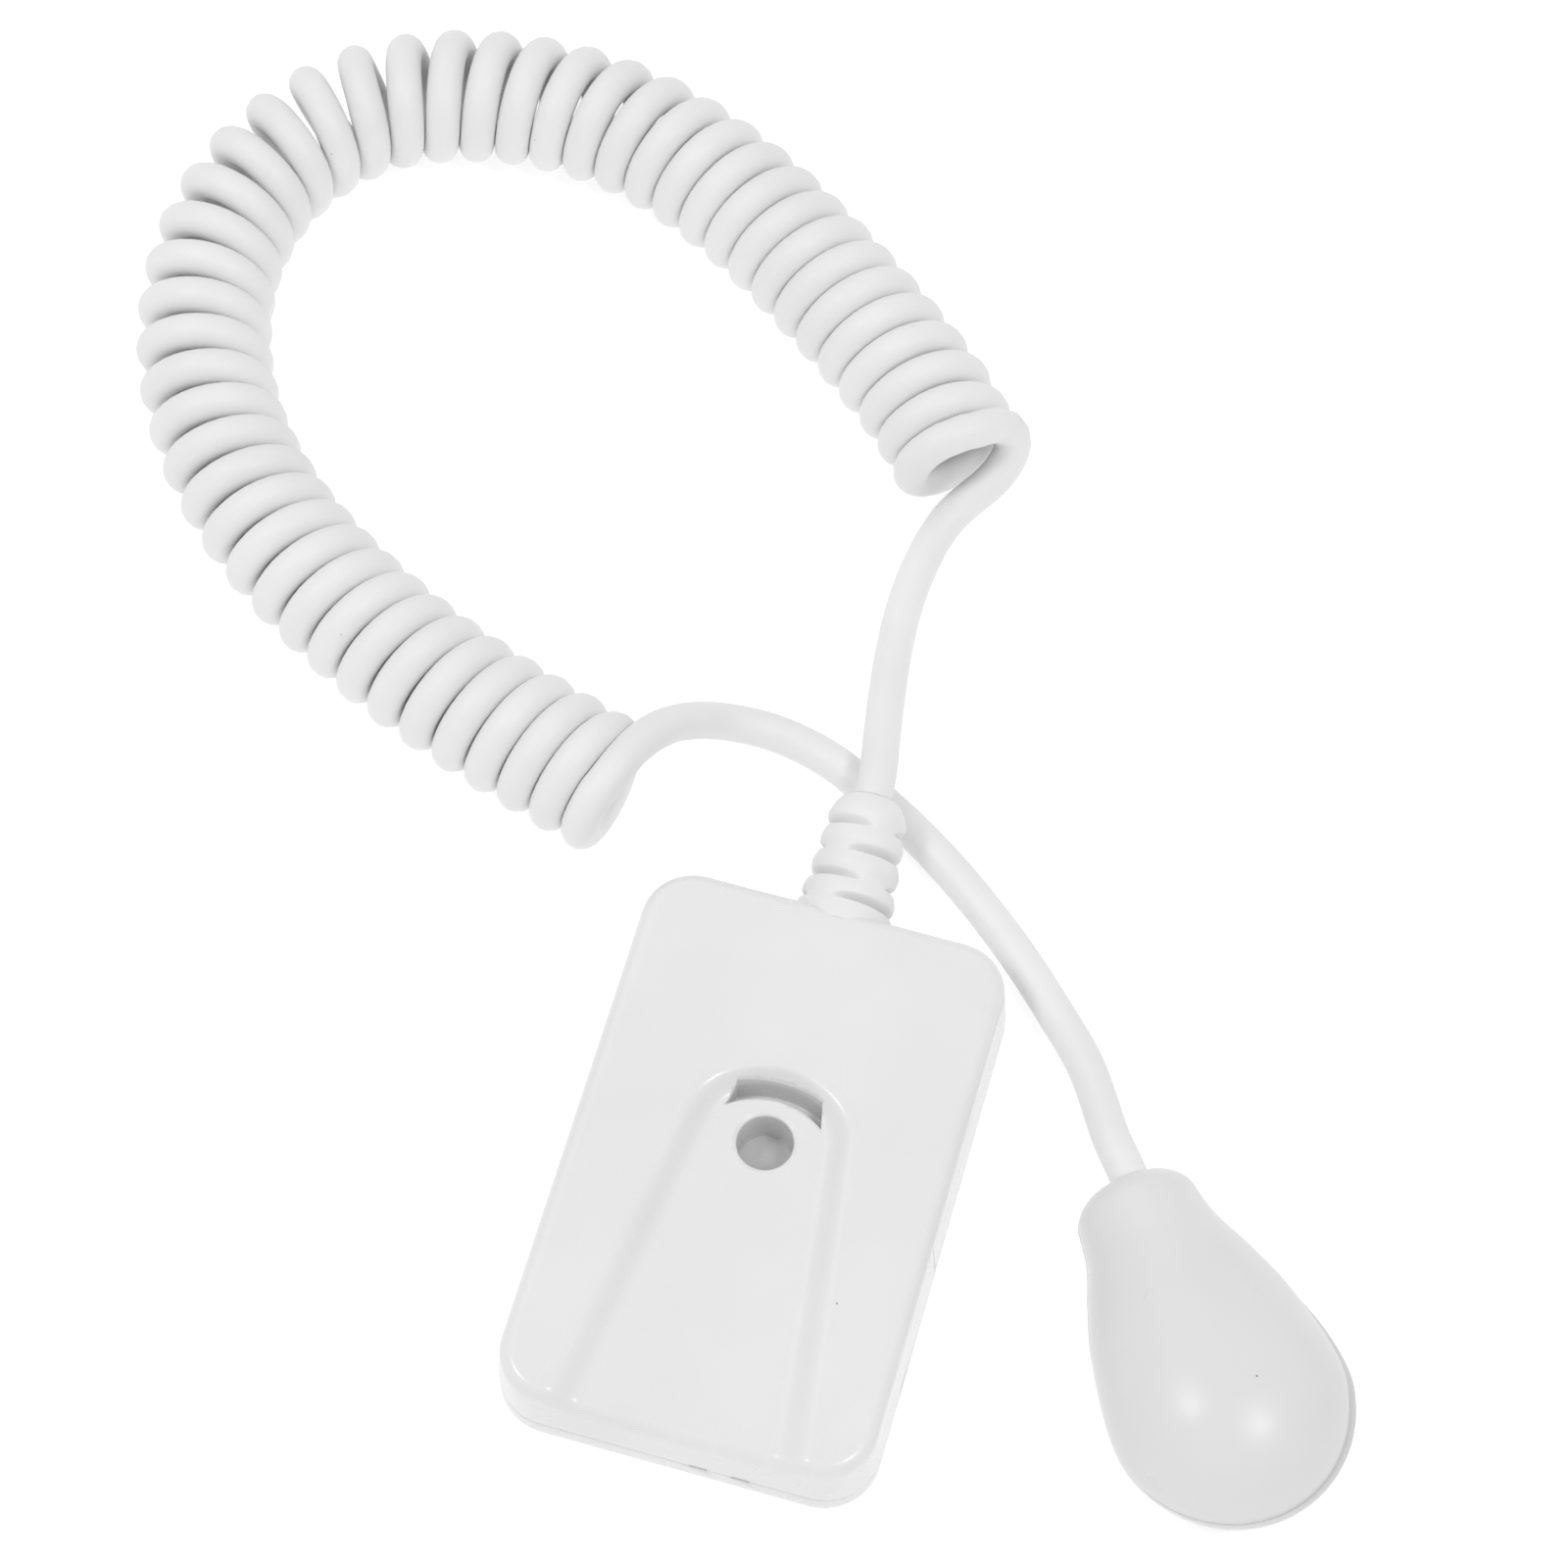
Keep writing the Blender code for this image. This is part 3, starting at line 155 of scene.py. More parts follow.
NECK_FROM, NECK_REACH = PEAR_TAIL * 0.2, PEAR_END * 0.85     # where the bulb's section turns into the neck's
PEAR_STEPS = 56             # divisions of a half shell from rim to rim
PEAR_CORD_X = 0.9
PEAR_CORD_INSIDE = (39, 35, 31, 27.5)   # the cord's last points, straight into the neck
PEAR_SCREWS = ((-5.5, 15.4), (5.5, 15.4))
BOSS_RADIUS, BOSS_HOLE, PEAR_POST = 2.3, 1.2, 3.0
SCREW_HOLE, SCREW_RECESS = 1.25, 2.4
COLLAR_RADIUS, COLLAR_FACE = 13.0, -9.2
BORE_RADIUS, MOUTH_RADIUS = 11.5, 10.3
SPRING_LOW, SPRING_HIGH = -4.9, -0.3    # middle of the wire at each end, at rest
SPRING_RADIUS, SPRING_WIRE = 6.0, 0.3
SPRING_TURNS = 3.5

# ---- View, in metres ----------------------------------------------------------------------------
AZIMUTH, ELEVATION, DISTANCE = math.radians(16.0), math.radians(64.0), 0.606
TARGET = Vector((-0.01355, 0.0601, 0.0))
LENS, SENSOR = 100.0, 36.0              # millimetres
WORLD_STRENGTH = 0.60
LIGHTS = (                              # name, direction from the target, distance, diameter, watts
    ("light_right", (0.41, -0.18, 0.90), 1.1, 0.26, 2.7),
    ("light_left", (-0.44, -0.19, 0.88), 1.1, 0.26, 2.1),
    ("light_top", (-0.45, 0.45, 0.76), 1.3, 0.9, 1.4),
)
STAGE_HALF, STAGE_TONE, STAGE_ROUGH, STAGE_GLOW = 3.0, 0.62, 0.9, 0.54      # the floor below

# ---- Shades -------------------------------------------------------------------------------------
WHITE = (0.80, 0.80, 0.80)
SHADED_POCKET = ((0.0, 0.0065), 0.012, 0.0112, 0.0030)    # painted shade down in the slot and well: axis, reach, top, bottom, in metres
# how far the painted shade in the slot and well darkens the colour
POCKET_SHADE_TONE = 0.88


# ---- Camera, light and floor ----------------------------------------------------------------
def set_view():
    """The photo's camera."""
    back = Vector((math.sin(AZIMUTH) * math.cos(ELEVATION), -math.cos(AZIMUTH) * math.cos(ELEVATION),
                   math.sin(ELEVATION)))
    data = bpy.data.cameras.new("camera")
    data.lens = LENS
    data.sensor_width = SENSOR
    data.clip_start = 0.01
    data.clip_end = 20.0
    camera = bpy.data.objects.new("camera", data)
    camera.location = TARGET + back * DISTANCE
    camera.rotation_euler = (-back).to_track_quat('-Z', 'Y').to_euler()
    bpy.context.scene.collection.objects.link(camera)
    bpy.context.scene.camera = camera


def area_light(name, direction, distance, size, power):
    """A round soft light that looks at the target."""
    data = bpy.data.lights.new(name, 'AREA')
    data.shape = 'DISK'
    data.size = size
    data.energy = power
    light = bpy.data.objects.new(name, data)
    aim = Vector(direction).normalized()
    light.location = TARGET + aim * distance
    light.rotation_euler = aim.to_track_quat('Z', 'Y').to_euler()
    bpy.context.scene.collection.objects.link(light)


def set_light():
    """An even white world and three soft lights. Two make the twin highlights on the handset."""
    world = bpy.data.worlds.new("studio")
    world.use_nodes = True
    background = world.node_tree.nodes["Background"]
    background.inputs["Color"].default_value = (1, 1, 1, 1)
    background.inputs["Strength"].default_value = WORLD_STRENGTH
    bpy.context.scene.world = world
    bpy.context.scene.view_settings.view_transform = 'Standard'
    for light in LIGHTS:
        area_light(*light)


def make_floor():
    """A floor that glows just enough to come out as white as the photo's background."""
    bm = bmesh.new()
    bmesh.ops.create_grid(bm, x_segments=1, y_segments=1, size=STAGE_HALF)
    mesh = bpy.data.meshes.new("floor")
    bm.to_mesh(mesh)
    bm.free()
    floor = bpy.data.objects.new("floor", mesh)
    bpy.context.scene.collection.objects.link(floor)
    surface = bpy.data.materials.new("floor")
    surface.use_nodes = True
    shader = surface.node_tree.nodes["Principled BSDF"]
    shader.inputs["Base Color"].default_value = (STAGE_TONE, STAGE_TONE, STAGE_TONE, 1)
    shader.inputs["Roughness"].default_value = STAGE_ROUGH
    shader.inputs["Emission Color"].default_value = (1, 1, 1, 1)
    shader.inputs["Emission Strength"].default_value = STAGE_GLOW
    mesh.materials.append(surface)


# ---- Small helpers ----------------------------------------------------------------------------
def smooth_route(points, spacing):
    """Points at even steps along a smooth curve through the given ones (centripetal Catmull-Rom)."""
    knots = [Vector(p) for p in points]
    knots = [2 * knots[0] - knots[1]] + knots + [2 * knots[-1] - knots[-2]]
    dense = []
    for a, b, c, d in zip(knots, knots[1:], knots[2:], knots[3:]):
        t1 = (b - a).length ** 0.5
        t2 = t1 + (c - b).length ** 0.5
        t3 = t2 + (d - c).length ** 0.5
        for t in np.linspace(t1, t2, 40, endpoint=False):
            ab = a * ((t1 - t) / t1) + b * (t / t1)
            bc = b * ((t2 - t) / (t2 - t1)) + c * ((t - t1) / (t2 - t1))
            cd = c * ((t3 - t) / (t3 - t2)) + d * ((t - t2) / (t3 - t2))
            abc = ab * ((t2 - t) / t2) + bc * (t / t2)
            bcd = bc * ((t3 - t) / (t3 - t1)) + cd * ((t - t1) / (t3 - t1))
            dense.append(abc * ((t2 - t) / (t2 - t1)) + bcd * ((t - t1) / (t2 - t1)))
    dense.append(knots[-2])
    run = np.cumsum([0.0] + [(q - p).length for p, q in zip(dense, dense[1:])])
    steps = np.linspace(0, run[-1], max(2, round(run[-1] / spacing) + 1))
    columns = [np.interp(steps, run, [p[i] for p in dense]) for i in range(len(knots[0]))]
    return np.array(columns).T


def add_mesh(name, points, faces, place=None, smooth=35):
    """A mesh object from points in millimetres, moved by `place` (also in millimetres).

    Edges sharper than `smooth` degrees stay sharp."""
    bm = bmesh.new()
    verts = [bm.verts.new(p) for p in points]
    for face in faces:
        corners = [verts[i] for i in dict.fromkeys(face)]
        if len(corners) > 2:
            bm.faces.new(corners)
    bmesh.ops.recalc_face_normals(bm, faces=bm.faces)
    matrix = Matrix.Scale(MM, 4) @ (place or Matrix.Identity(4))
    bmesh.ops.transform(bm, matrix=matrix, verts=bm.verts)
    mesh = bpy.data.meshes.new(name)
    bm.to_mesh(mesh)
    bm.free()
    made = bpy.data.objects.new(name, mesh)
    bpy.context.scene.collection.objects.link(made)
    mesh.shade_smooth()
    mesh.set_sharp_from_angle(angle=math.radians(smooth))
    return made


def carve(target, tools):
    """Apply Booleans in order. `tools` holds pairs of operation and tool; the tools are used up."""
    for operation, tool in tools:
        step = target.modifiers.new(tool.name, 'BOOLEAN')
        step.operation = operation
        step.object = tool
        step.solver = 'EXACT'
    bpy.context.view_layer.update()
    seen = target.evaluated_get(bpy.context.evaluated_depsgraph_get())
    mesh = bpy.data.meshes.new_from_object(seen)
    target.modifiers.clear()
    old = target.data
    target.data = mesh
    bpy.data.meshes.remove(old)
    mesh.name = target.name
    for _, tool in tools:
        data = tool.data
        bpy.data.objects.remove(tool)
        bpy.data.meshes.remove(data)
    return target


def bridge(lower, upper):
    """Faces between two closed rows of the same length, given as vertex numbers."""
    count = len(lower)
    return [(lower[i], lower[(i + 1) % count], upper[(i + 1) % count], upper[i]) for i in range(count)]


def loft(name, rings, place=None, smooth=35):
    """Skin rings that all have the same number of points, and cap both ends."""
    count = len(rings[0])
    points = [p for ring in rings for p in ring]
    rows = [list(range(i * count, (i + 1) * count)) for i in range(len(rings))]
    faces = [face for a, b in zip(rows, rows[1:]) for face in bridge(a, b)]
    faces += [rows[0][::-1], rows[-1]]
    return add_mesh(name, points, faces, place, smooth)


def turned(name, profile, centre=(0, 0), sides=64, place=None):
    """A closed upright solid from (radius, height) pairs, lowest first."""
    angles = np.linspace(0, 2 * math.pi, sides, endpoint=False)
    rings = [[(centre[0] + r * math.cos(a), centre[1] + r * math.sin(a), z) for a in angles]
             for r, z in profile]
    return loft(name, rings, place)


def block(name, low, high):
    """A plain block, used only as a cutting tool."""
    (x0, y0, z0), (x1, y1, z1) = low, high
    rings = [[(x0, y0, z), (x1, y0, z), (x1, y1, z), (x0, y1, z)] for z in (z0, z1)]
    return loft(name, rings)


def soft_step(low, high, value):
    """0 below `low`, 1 above `high`, and a smooth change between."""
    t = min(1.0, max(0.0, (value - low) / (high - low)))
    return t * t * (3 - 2 * t)


def cylinders(operation, label, spots, radius, heights, sides, place=None):
    """The same upright cylinder at several spots, as tools for carve."""
    profile = [(radius, z) for z in heights]
    return [(operation, turned(f"{label}_{i}", profile, spot, sides, place)) for i, spot in enumerate(spots)]


def round_bar(name, ends, centre, radius, place=None, sides=48):
    """A bar along Y round the point `centre` in XZ, used as a cutting tool."""
    angles = np.linspace(0, 2 * math.pi, sides, endpoint=False)
    x, z = centre
    rings = [[(x + radius * math.cos(a), y, z + radius * math.sin(a)) for a in angles] for y in ends]
    return loft(name, rings, place)


# ---- Box covers ---------------------------------------------------------------------------------
def plan_ring(inset, corner_steps, end_steps, side_steps):
    """The box's outline drawn in by `inset`: four corner arcs with evenly divided sides between."""
    cx, cy = HALF_X - CORNER, HALF_Y - CORNER
    radius = max(CORNER - inset, 0.0)
    points = []
    for turn, (sx, sy) in enumerate(((-1, -1), (1, -1), (1, 1), (-1, 1))):
        start = math.pi * (1 + turn / 2)
        for a in np.linspace(start, start + math.pi / 2, corner_steps + 1):
            points.append((sx * cx + radius * math.cos(a), sy * cy + radius * math.sin(a)))
        forward = 1 if turn < 2 else -1
        if turn % 2 == 0:
            along = np.linspace(-1, 1, end_steps + 1)[1:-1] * cx * forward
            points += [(x, sy * (cy + radius)) for x in along]
        else:
            along = np.linspace(-1, 1, side_steps + 1)[1:-1] * cy * forward
            points += [(sx * (cx + radius), y) for y in along]
    return points


def recess_drop(x, y):
    """Depth below the rear face: a soft slope round the arch and along its widening sides."""
    qx, qy = abs(x), y - WELL_Y
    angle = math.atan2(qy, qx)
    if angle > SIDE_LEAN:
        away = math.hypot(qx, qy)
    else:
        away = qx * math.cos(SIDE_LEAN) + qy * math.sin(SIDE_LEAN)
    crown = soft_step(CROWN_FROM, CROWN_TO, angle)
    down = max(0.0, (WELL_Y - y) / (WELL_Y + HALF_Y))
    middle = SIDE_MID + (CROWN_MID - SIDE_MID) * crown + (END_MID - SIDE_MID) * down
    half = SIDE_SLOPE + (CROWN_SLOPE - SIDE_SLOPE) * crown + (END_SLOPE - SIDE_SLOPE) * down
    t = min(1.0, max(0.0, (middle - away + half) / (2 * half)))
    return RECESS_DEPTH * t * t * (3 - 2 * t)


def rear_height(x, y):
    """Height of the rear face, with its recess."""
    return TOP - recess_drop(x, y)


def wall_inset(z):
    """How far the rear cover's walls have leaned in at this height."""
    return DRAFT * (z - SEAM) / (TOP - SEAM)


def rear_cover_body():
    """Closed shell: a fine grid inside rounded rings, outside and inside, joined at the seam."""
    corner_steps, nx, ny = REAR_STEPS
    cx, cy = HALF_X - CORNER, HALF_Y - CORNER
    low = SEAM + SEAM_GAP
    round_start = wall_inset(TOP - TOP_ROUND)
    flat_start = round_start + TOP_ROUND
    points, faces = [], []

    def grid(dz):
        """The middle of the rear face, moved by dz. Gives the row round it, with its corners repeated."""
        base = len(points)
        for y in np.linspace(-cy, cy, ny + 1):
            points.extend((x, y, rear_height(x, y) + dz) for x in np.linspace(-cx, cx, nx + 1))
        for j in range(ny):
            for i in range(nx):
                k = base + j * (nx + 1) + i
                faces.append((k, k + 1, k + nx + 2, k + nx + 1))

        def at(i, j):
            return base + j * (nx + 1) + i

        edge = [at(0, 0)] * (corner_steps + 1) + [at(i, 0) for i in range(1, nx)]
        edge += [at(nx, 0)] * (corner_steps + 1) + [at(nx, j) for j in range(1, ny)]
        edge += [at(nx, ny)] * (corner_steps + 1) + [at(i, ny) for i in range(nx - 1, 0, -1)]
        edge += [at(0, ny)] * (corner_steps + 1) + [at(0, j) for j in range(ny - 1, 0, -1)]
        return edge

    def ring(inset, height):
        """A row round the box, drawn in by `inset`, at the height that height(x, y) gives."""
        base = len(points)
        outline = plan_ring(inset, *REAR_STEPS)
        points.extend((x, y, height(x, y)) for x, y in outline)
        return list(range(base, base + len(outline)))

    def skin(row):
        """Join the next row to the last one."""
        faces.extend(bridge(rows[-1], row))
        rows.append(row)

    # outside: from the grid over the rounded edge and down the leaning wall
    rows = [grid(0.0)]
    for inset in np.linspace(CORNER, flat_start, 14)[1:]:
        skin(ring(inset, rear_height))
    for angle in np.linspace(0, math.pi / 2, 11)[1:]:
        drop = TOP_ROUND * (1 - math.cos(angle))
        skin(ring(flat_start - TOP_ROUND * math.sin(angle), lambda x, y: rear_height(x, y) - drop))
    for share in (0.3, 0.6, 0.85, 0.97):
        skin(ring(round_start * (1 - share),
                  lambda x, y: (rear_height(x, y) - TOP_ROUND) * (1 - share) + low * share))
    for inset, z in ((0.01, low + 0.06), (0.07, low)):
        skin(ring(inset, lambda x, y: z))
    # inside
    skin(ring(WALL, lambda x, y: low))
    skin(ring(WALL + round_start, lambda x, y: rear_height(x, y) - PLATE))
    skin(grid(-PLATE))
    return add_mesh("rear_cover_shell", points, faces)


def slot_outline(grow, lean=0.0):
    """The slot's plan, larger all round by `grow`, its outer side drawn in by `lean`."""
    outer, inner = SLOT_OUTER + grow - lean, SLOT_INNER - grow
    outer_end = math.asin((SLOT_OUTER_HALF + grow) / outer)
    inner_end = math.asin((SLOT_INNER_HALF + grow) / inner)
    outline = [(outer * math.sin(a), outer * math.cos(a)) for a in np.linspace(-outer_end, outer_end, 60)]
    outline += [(inner * math.sin(a), inner * math.cos(a)) for a in np.linspace(inner_end, -inner_end, 60)]
    return [(x, y + SLOT_CENTRE_Y) for x, y in outline]


def make_well_cut():
    """The round blind well, with a rounded mouth and room above it."""
    mouth = [(WELL_RADIUS, FLOOR - WELL_DEPTH + 0.01), (WELL_RADIUS, FLOOR - WELL_LIP)]
    mouth += [(WELL_RADIUS + WELL_LIP * (1 - math.cos(a)), FLOOR - WELL_LIP + WELL_LIP * math.sin(a))
              for a in np.linspace(0.2, 1.45, 6)]
    mouth += [(WELL_RADIUS + WELL_LIP, FLOOR + 0.3), (WELL_RADIUS + WELL_LIP, TOP + 2 * PAST)]
    return turned("well_cut", mouth, (0, WELL_Y), 96)


def make_slot_cut():
    """The arc-shaped slot, whose rounded edge follows the slope of the recess."""
    rings = [[(x, y, FLOOR - SLOT_DEPTH) for x, y in slot_outline(0, SLOT_TAPER)]]
    for a in (0.0, 0.3, 0.6, 0.9, 1.15, 1.35):
        down = SLOT_EDGE * (1 - math.sin(a))
        rings.append([(x, y, rear_height(x, y) - down)
                      for x, y in slot_outline(SLOT_EDGE * (1 - math.cos(a)))])
    rings.append([(x, y, TOP + 1.5 * PAST) for x, y in slot_outline(SLOT_EDGE)])
    return loft("slot_cut", rings)


def entry_cut(label):
    """The hole in the end wall for the strain relief. The seam runs across it."""
    return round_bar(f"{label}_entry", (HALF_Y - 4, HALF_Y + 2), (ENTRY_X, ENTRY_Z), ENTRY_RADIUS)


def make_rear_cover():
    """Rear half of the box, with the bracket's recess, slot and well."""
    well_floor = FLOOR - WELL_DEPTH
    tube_radius = WELL_RADIUS + WELL_WALL
    tube = turned("well_tube", [(tube_radius, well_floor - WELL_WALL), (tube_radius, FLOOR - 0.6)],
                  (0, WELL_Y))
    pocket = loft("slot_pocket", [[(x, y, z) for x, y in slot_outline(SLOT_WALL)]
                                  for z in (FLOOR - SLOT_DEPTH - 0.7, FLOOR - 0.5)])
    tick = block("tick_cut", (HALF_X - TICK_DEPTH, TICK_Y[0], SEAM + 0.4),
                 (HALF_X + PAST, TICK_Y[1], TOP - 3.2))
    cuts = [make_well_cut(), make_slot_cut(), entry_cut("rear"), *pry_cuts("rear"), tick]
    return carve(rear_cover_body(),
                 [('UNION', tube), ('UNION', pocket)] + [('DIFFERENCE', cut) for cut in cuts])


def pry_cuts(label):
    """Small notches in the seam, two at the open end and one on each side."""
    cuts = []
    for i, x in enumerate(PRY_END_X):
        cuts.append(block(f"pry_{label}_{i}", (x - PRY_HALF, -HALF_Y - PAST, SEAM - PRY_HIGH),
                          (x + PRY_HALF, -HALF_Y + PRY_DEPTH, SEAM + PRY_HIGH)))
    for side in (-1, 1):
        x = side * HALF_X
        cuts.append(block(f"pry_{label}_side_{side}", (x - PRY_DEPTH, PRY_SIDE_Y - PRY_HALF, SEAM - PRY_HIGH),
                          (x + PRY_DEPTH, PRY_SIDE_Y + PRY_HALF, SEAM + PRY_HIGH)))
    return cuts


def cover_ring(inset, z):
    """The front cover's outline drawn in by `inset`, at one height."""
    return [(x, y, z) for x, y in plan_ring(inset, *FRONT_STEPS)]


def make_front_cover():
    """Front half of the box: a tray with a tongue, four posts, and holes for the key and the lamp."""
    r = FRONT_ROUND
    rings = [cover_ring(r - r * math.sin(a), r - r * math.cos(a)) for a in np.linspace(0.0, math.pi / 2, 9)]
    rings += [cover_ring(0.0, SEAM - 0.07), cover_ring(0.02, SEAM - 0.02), cover_ring(0.07, SEAM)]
    body = loft("front_cover_shell", rings)
    cavity = loft("front_cavity", [cover_ring(WALL, FRONT_PLATE), cover_ring(WALL, SEAM + 2)])
    tongue = loft("tongue", [cover_ring(TONGUE_OUTSIDE, z) for z in (1.2, SEAM + TONGUE_RISE)])
    tongue_cut = loft("tongue_cut", [cover_ring(TONGUE_INSIDE, z) for z in (0.0, 7.0)])
    tools = [('DIFFERENCE', cavity), ('UNION', carve(tongue, [('DIFFERENCE', tongue_cut)]))]
    tools += cylinders('UNION', "post", POSTS, POST_RADIUS, POST_HEIGHTS, 32)
    tools += cylinders('DIFFERENCE', "pilot", POSTS, PILOT_RADIUS, PILOT_HEIGHTS, 24)
    key_edge = [(KEY_HOLE + 0.4, -0.5), (KEY_HOLE + 0.4, 0.0), (KEY_HOLE + 0.12, 0.12), (KEY_HOLE, 0.4),
                (KEY_HOLE, 2.6)]
    lamp_edge = [(LAMP_HOLE + 0.2, -0.5), (LAMP_HOLE + 0.2, 0.0), (LAMP_HOLE, 0.2), (LAMP_HOLE, 2.6)]
    inner = HALF_Y - WALL
    flange_room = round_bar("flange_room", (inner - 3, inner - 0.1), (ENTRY_X, ENTRY_Z), FLANGE_ROOM)
    cuts = [turned("key_cut", key_edge, (0, KEY_Y), 96), turned("lamp_cut", lamp_edge, (0, LAMP_Y), 48),
            entry_cut("front"), flange_room, *pry_cuts("front")]
    return carve(body, tools + [('DIFFERENCE', cut) for cut in cuts])


# ---- Strain relief --------------------------------------------------------------------------------
# distance from the box, width, depth, and which way the slot's middle looks (degrees from +X)
RELIEF_SLOTS = ((1.6, 0.5, 2.0, 36), (5.0, 0.35, 1.7, 144), (8.95, 0.35, 1.6, 36), (12.5, 0.3, 1.4, 144))
SLOT_REACH = 72             # degrees from a slot's middle to its ends
RELIEF_CRESTS = (0.7, 3.6, 7.4, 11.0, 14.4)
CREST_RISE, CREST_WIDTH = 0.55, 1.35
RELIEF_RADIUS, RELIEF_TAPER = 6.2, 0.095        # between the rings at the box, and its loss per mm
TIP_ROUND, TIP_DROP = 1.7, 1.3
RELIEF_AROUND, RELIEF_ALONG = 144, 200
SADDLE_REACH = 1.5          # the first stretch of the sleeve is drawn out to meet the box


def relief_axis(t):
    """The sleeve's middle line, from the box (0) to its tip (1)."""
    bend = t * t * (3 - 2 * t) * 0.5 + t * 0.5
    return Vector((ENTRY_X * (1 - t * t), HALF_Y + 0.3 + RELIEF_LENGTH * t, ENTRY_Z + RELIEF_RISE * bend))


def relief_radius(t, degrees):
    """A sleeve of soft tapering rings. Each slot has a crisp edge towards the box and a soft far one."""
    y = t * RELIEF_LENGTH
    radius = RELIEF_RADIUS - RELIEF_TAPER * y
    radius += sum(CREST_RISE * math.exp(-((y - crest) / CREST_WIDTH) ** 2) for crest in RELIEF_CRESTS)
    for place, width, depth, middle in RELIEF_SLOTS:
        across = y - place
        for face in (middle, middle + 180):
            away = abs((degrees - face + 180) % 360 - 180)
            share = max(0.0, 1 - (away / SLOT_REACH) ** 4)
            if share > 0:
                crisp = soft_step(-0.1, 0.05, across)
                soft = 1 - soft_step(0.0, width + share, across) ** 0.7
                radius -= depth * share * crisp * soft
    tip = max(0.0, (y - RELIEF_LENGTH + TIP_ROUND) / TIP_ROUND)
    radius -= TIP_DROP * (1 - math.sqrt(max(0.0, 1 - min(tip, 1.0) ** 2)))
    return max(radius, CORD_RADIUS + 0.25)


def saddle(z):
    """How far the box's end wall lies back at this height, over its rounded edge as well."""
    over = min(max(0.0, z - TOP + TOP_ROUND), TOP_ROUND * 0.9)
    return wall_inset(min(max(z, SEAM), TOP)) + TOP_ROUND - math.sqrt(TOP_ROUND ** 2 - over ** 2)


def make_strain_relief():
    """The flange and neck inside the box, then the ringed sleeve out to the cord."""
    degrees = np.linspace(0, 360, RELIEF_AROUND, endpoint=False)
    turn = [(math.cos(math.radians(a)), math.sin(math.radians(a))) for a in degrees]
    rings = []
    behind = -WALL - DRAFT - 0.3
    inside = [(behind - 1.8, FLANGE_RADIUS - 0.4), (behind - 1.7, FLANGE_RADIUS),
              (behind - 0.2, FLANGE_RADIUS), (behind, 4.0), (0.15, 4.0)]
    for y, radius in inside:
        rings.append([(ENTRY_X + radius * c, HALF_Y + y, ENTRY_Z + radius * s) for c, s in turn])
    for radius in (4.9, 5.5, 6.0, 6.4):
        ring = [(ENTRY_X + radius * c, ENTRY_Z + radius * s) for c, s in turn]
        rings.append([(x, HALF_Y + 0.2 - saddle(z), z) for x, z in ring])
    for t in np.linspace(0, 1, RELIEF_ALONG):
        centre = relief_axis(t)
        along = (relief_axis(min(1.0, t + 0.01)) - relief_axis(max(0.0, t - 0.01))).normalized()
        side = along.cross(Vector((0, 0, 1))).normalized()
        up = side.cross(along)
        ring = []
        for a, (c, s) in zip(degrees, turn):
            r = relief_radius(t, a)
            point = centre + side * r * c + up * r * s
            point.y -= saddle(point.z) * max(0.0, 1 - t * RELIEF_LENGTH / SADDLE_REACH)
            ring.append(point)
        rings.append(ring)
    tip = rings[-1]
    centre = relief_axis(1.0)
    along = (relief_axis(1.0) - relief_axis(0.98)).normalized()
    for forward, radius in ((0.06, 3.5), (0.06, CORD_RADIUS + 0.08), (-0.8, CORD_RADIUS + 0.02)):
        rings.append([centre + along * forward + (Vector(p) - centre).normalized() * radius for p in tip])
    return loft("relief_sleeve", rings, smooth=50)


# ---- Cord -----------------------------------------------------------------------------------------
def even(column):
    """A running mean, as long as the column itself."""
    padded = np.pad(column, EVEN_STEPS // 2, 'edge')
    return np.convolve(padded, np.ones(EVEN_STEPS) / EVEN_STEPS, 'valid')


def helix_points():
    """The coil's turns. The pitch opens in a bend, so that the turns stay apart on its inside."""
    middle = smooth_route([(x, y, COIL_RADIUS) for x, y in COIL_ROUTE], COIL_STEP)
    step = np.linalg.norm(np.diff(middle, axis=0), axis=1)
    run = np.concatenate([[0.0], np.cumsum(step)])
    tangent = np.gradient(middle, run, axis=0)
    for _ in range(3):
        tangent = np.array([even(column) for column in tangent.T]).T
    tangent /= np.linalg.norm(tangent, axis=1)[:, None]
    bend = np.linalg.norm(np.gradient(tangent, run, axis=0), axis=1)
    pitch = 2 * CORD_RADIUS * TURN_STEP / (1 - np.clip(bend, 0, TIGHT_BEND) * HELIX_RADIUS)
    turns = np.concatenate([[0.0], np.cumsum(step / ((pitch[1:] + pitch[:-1]) / 2))])
    total = TURNS + (COIL_START - COIL_END) / (2 * math.pi)
    phase = COIL_START - 2 * math.pi * total * turns / turns[-1]
    numbers = np.arange(len(turns))
    samples = np.interp(np.linspace(0, 1, int(total * POINTS_PER_TURN)), turns / turns[-1], numbers)
    centre, ahead = (np.array([np.interp(samples, numbers, column) for column in rows.T]).T
                     for rows in (middle, tangent))
    angle = np.interp(samples, numbers, phase)
    side = np.stack([-ahead[:, 1], ahead[:, 0], np.zeros(len(ahead))], axis=1)
    up = np.array([0.0, 0.0, 1.0])
    return centre + HELIX_RADIUS * (np.cos(angle)[:, None] * side + np.sin(angle)[:, None] * up)


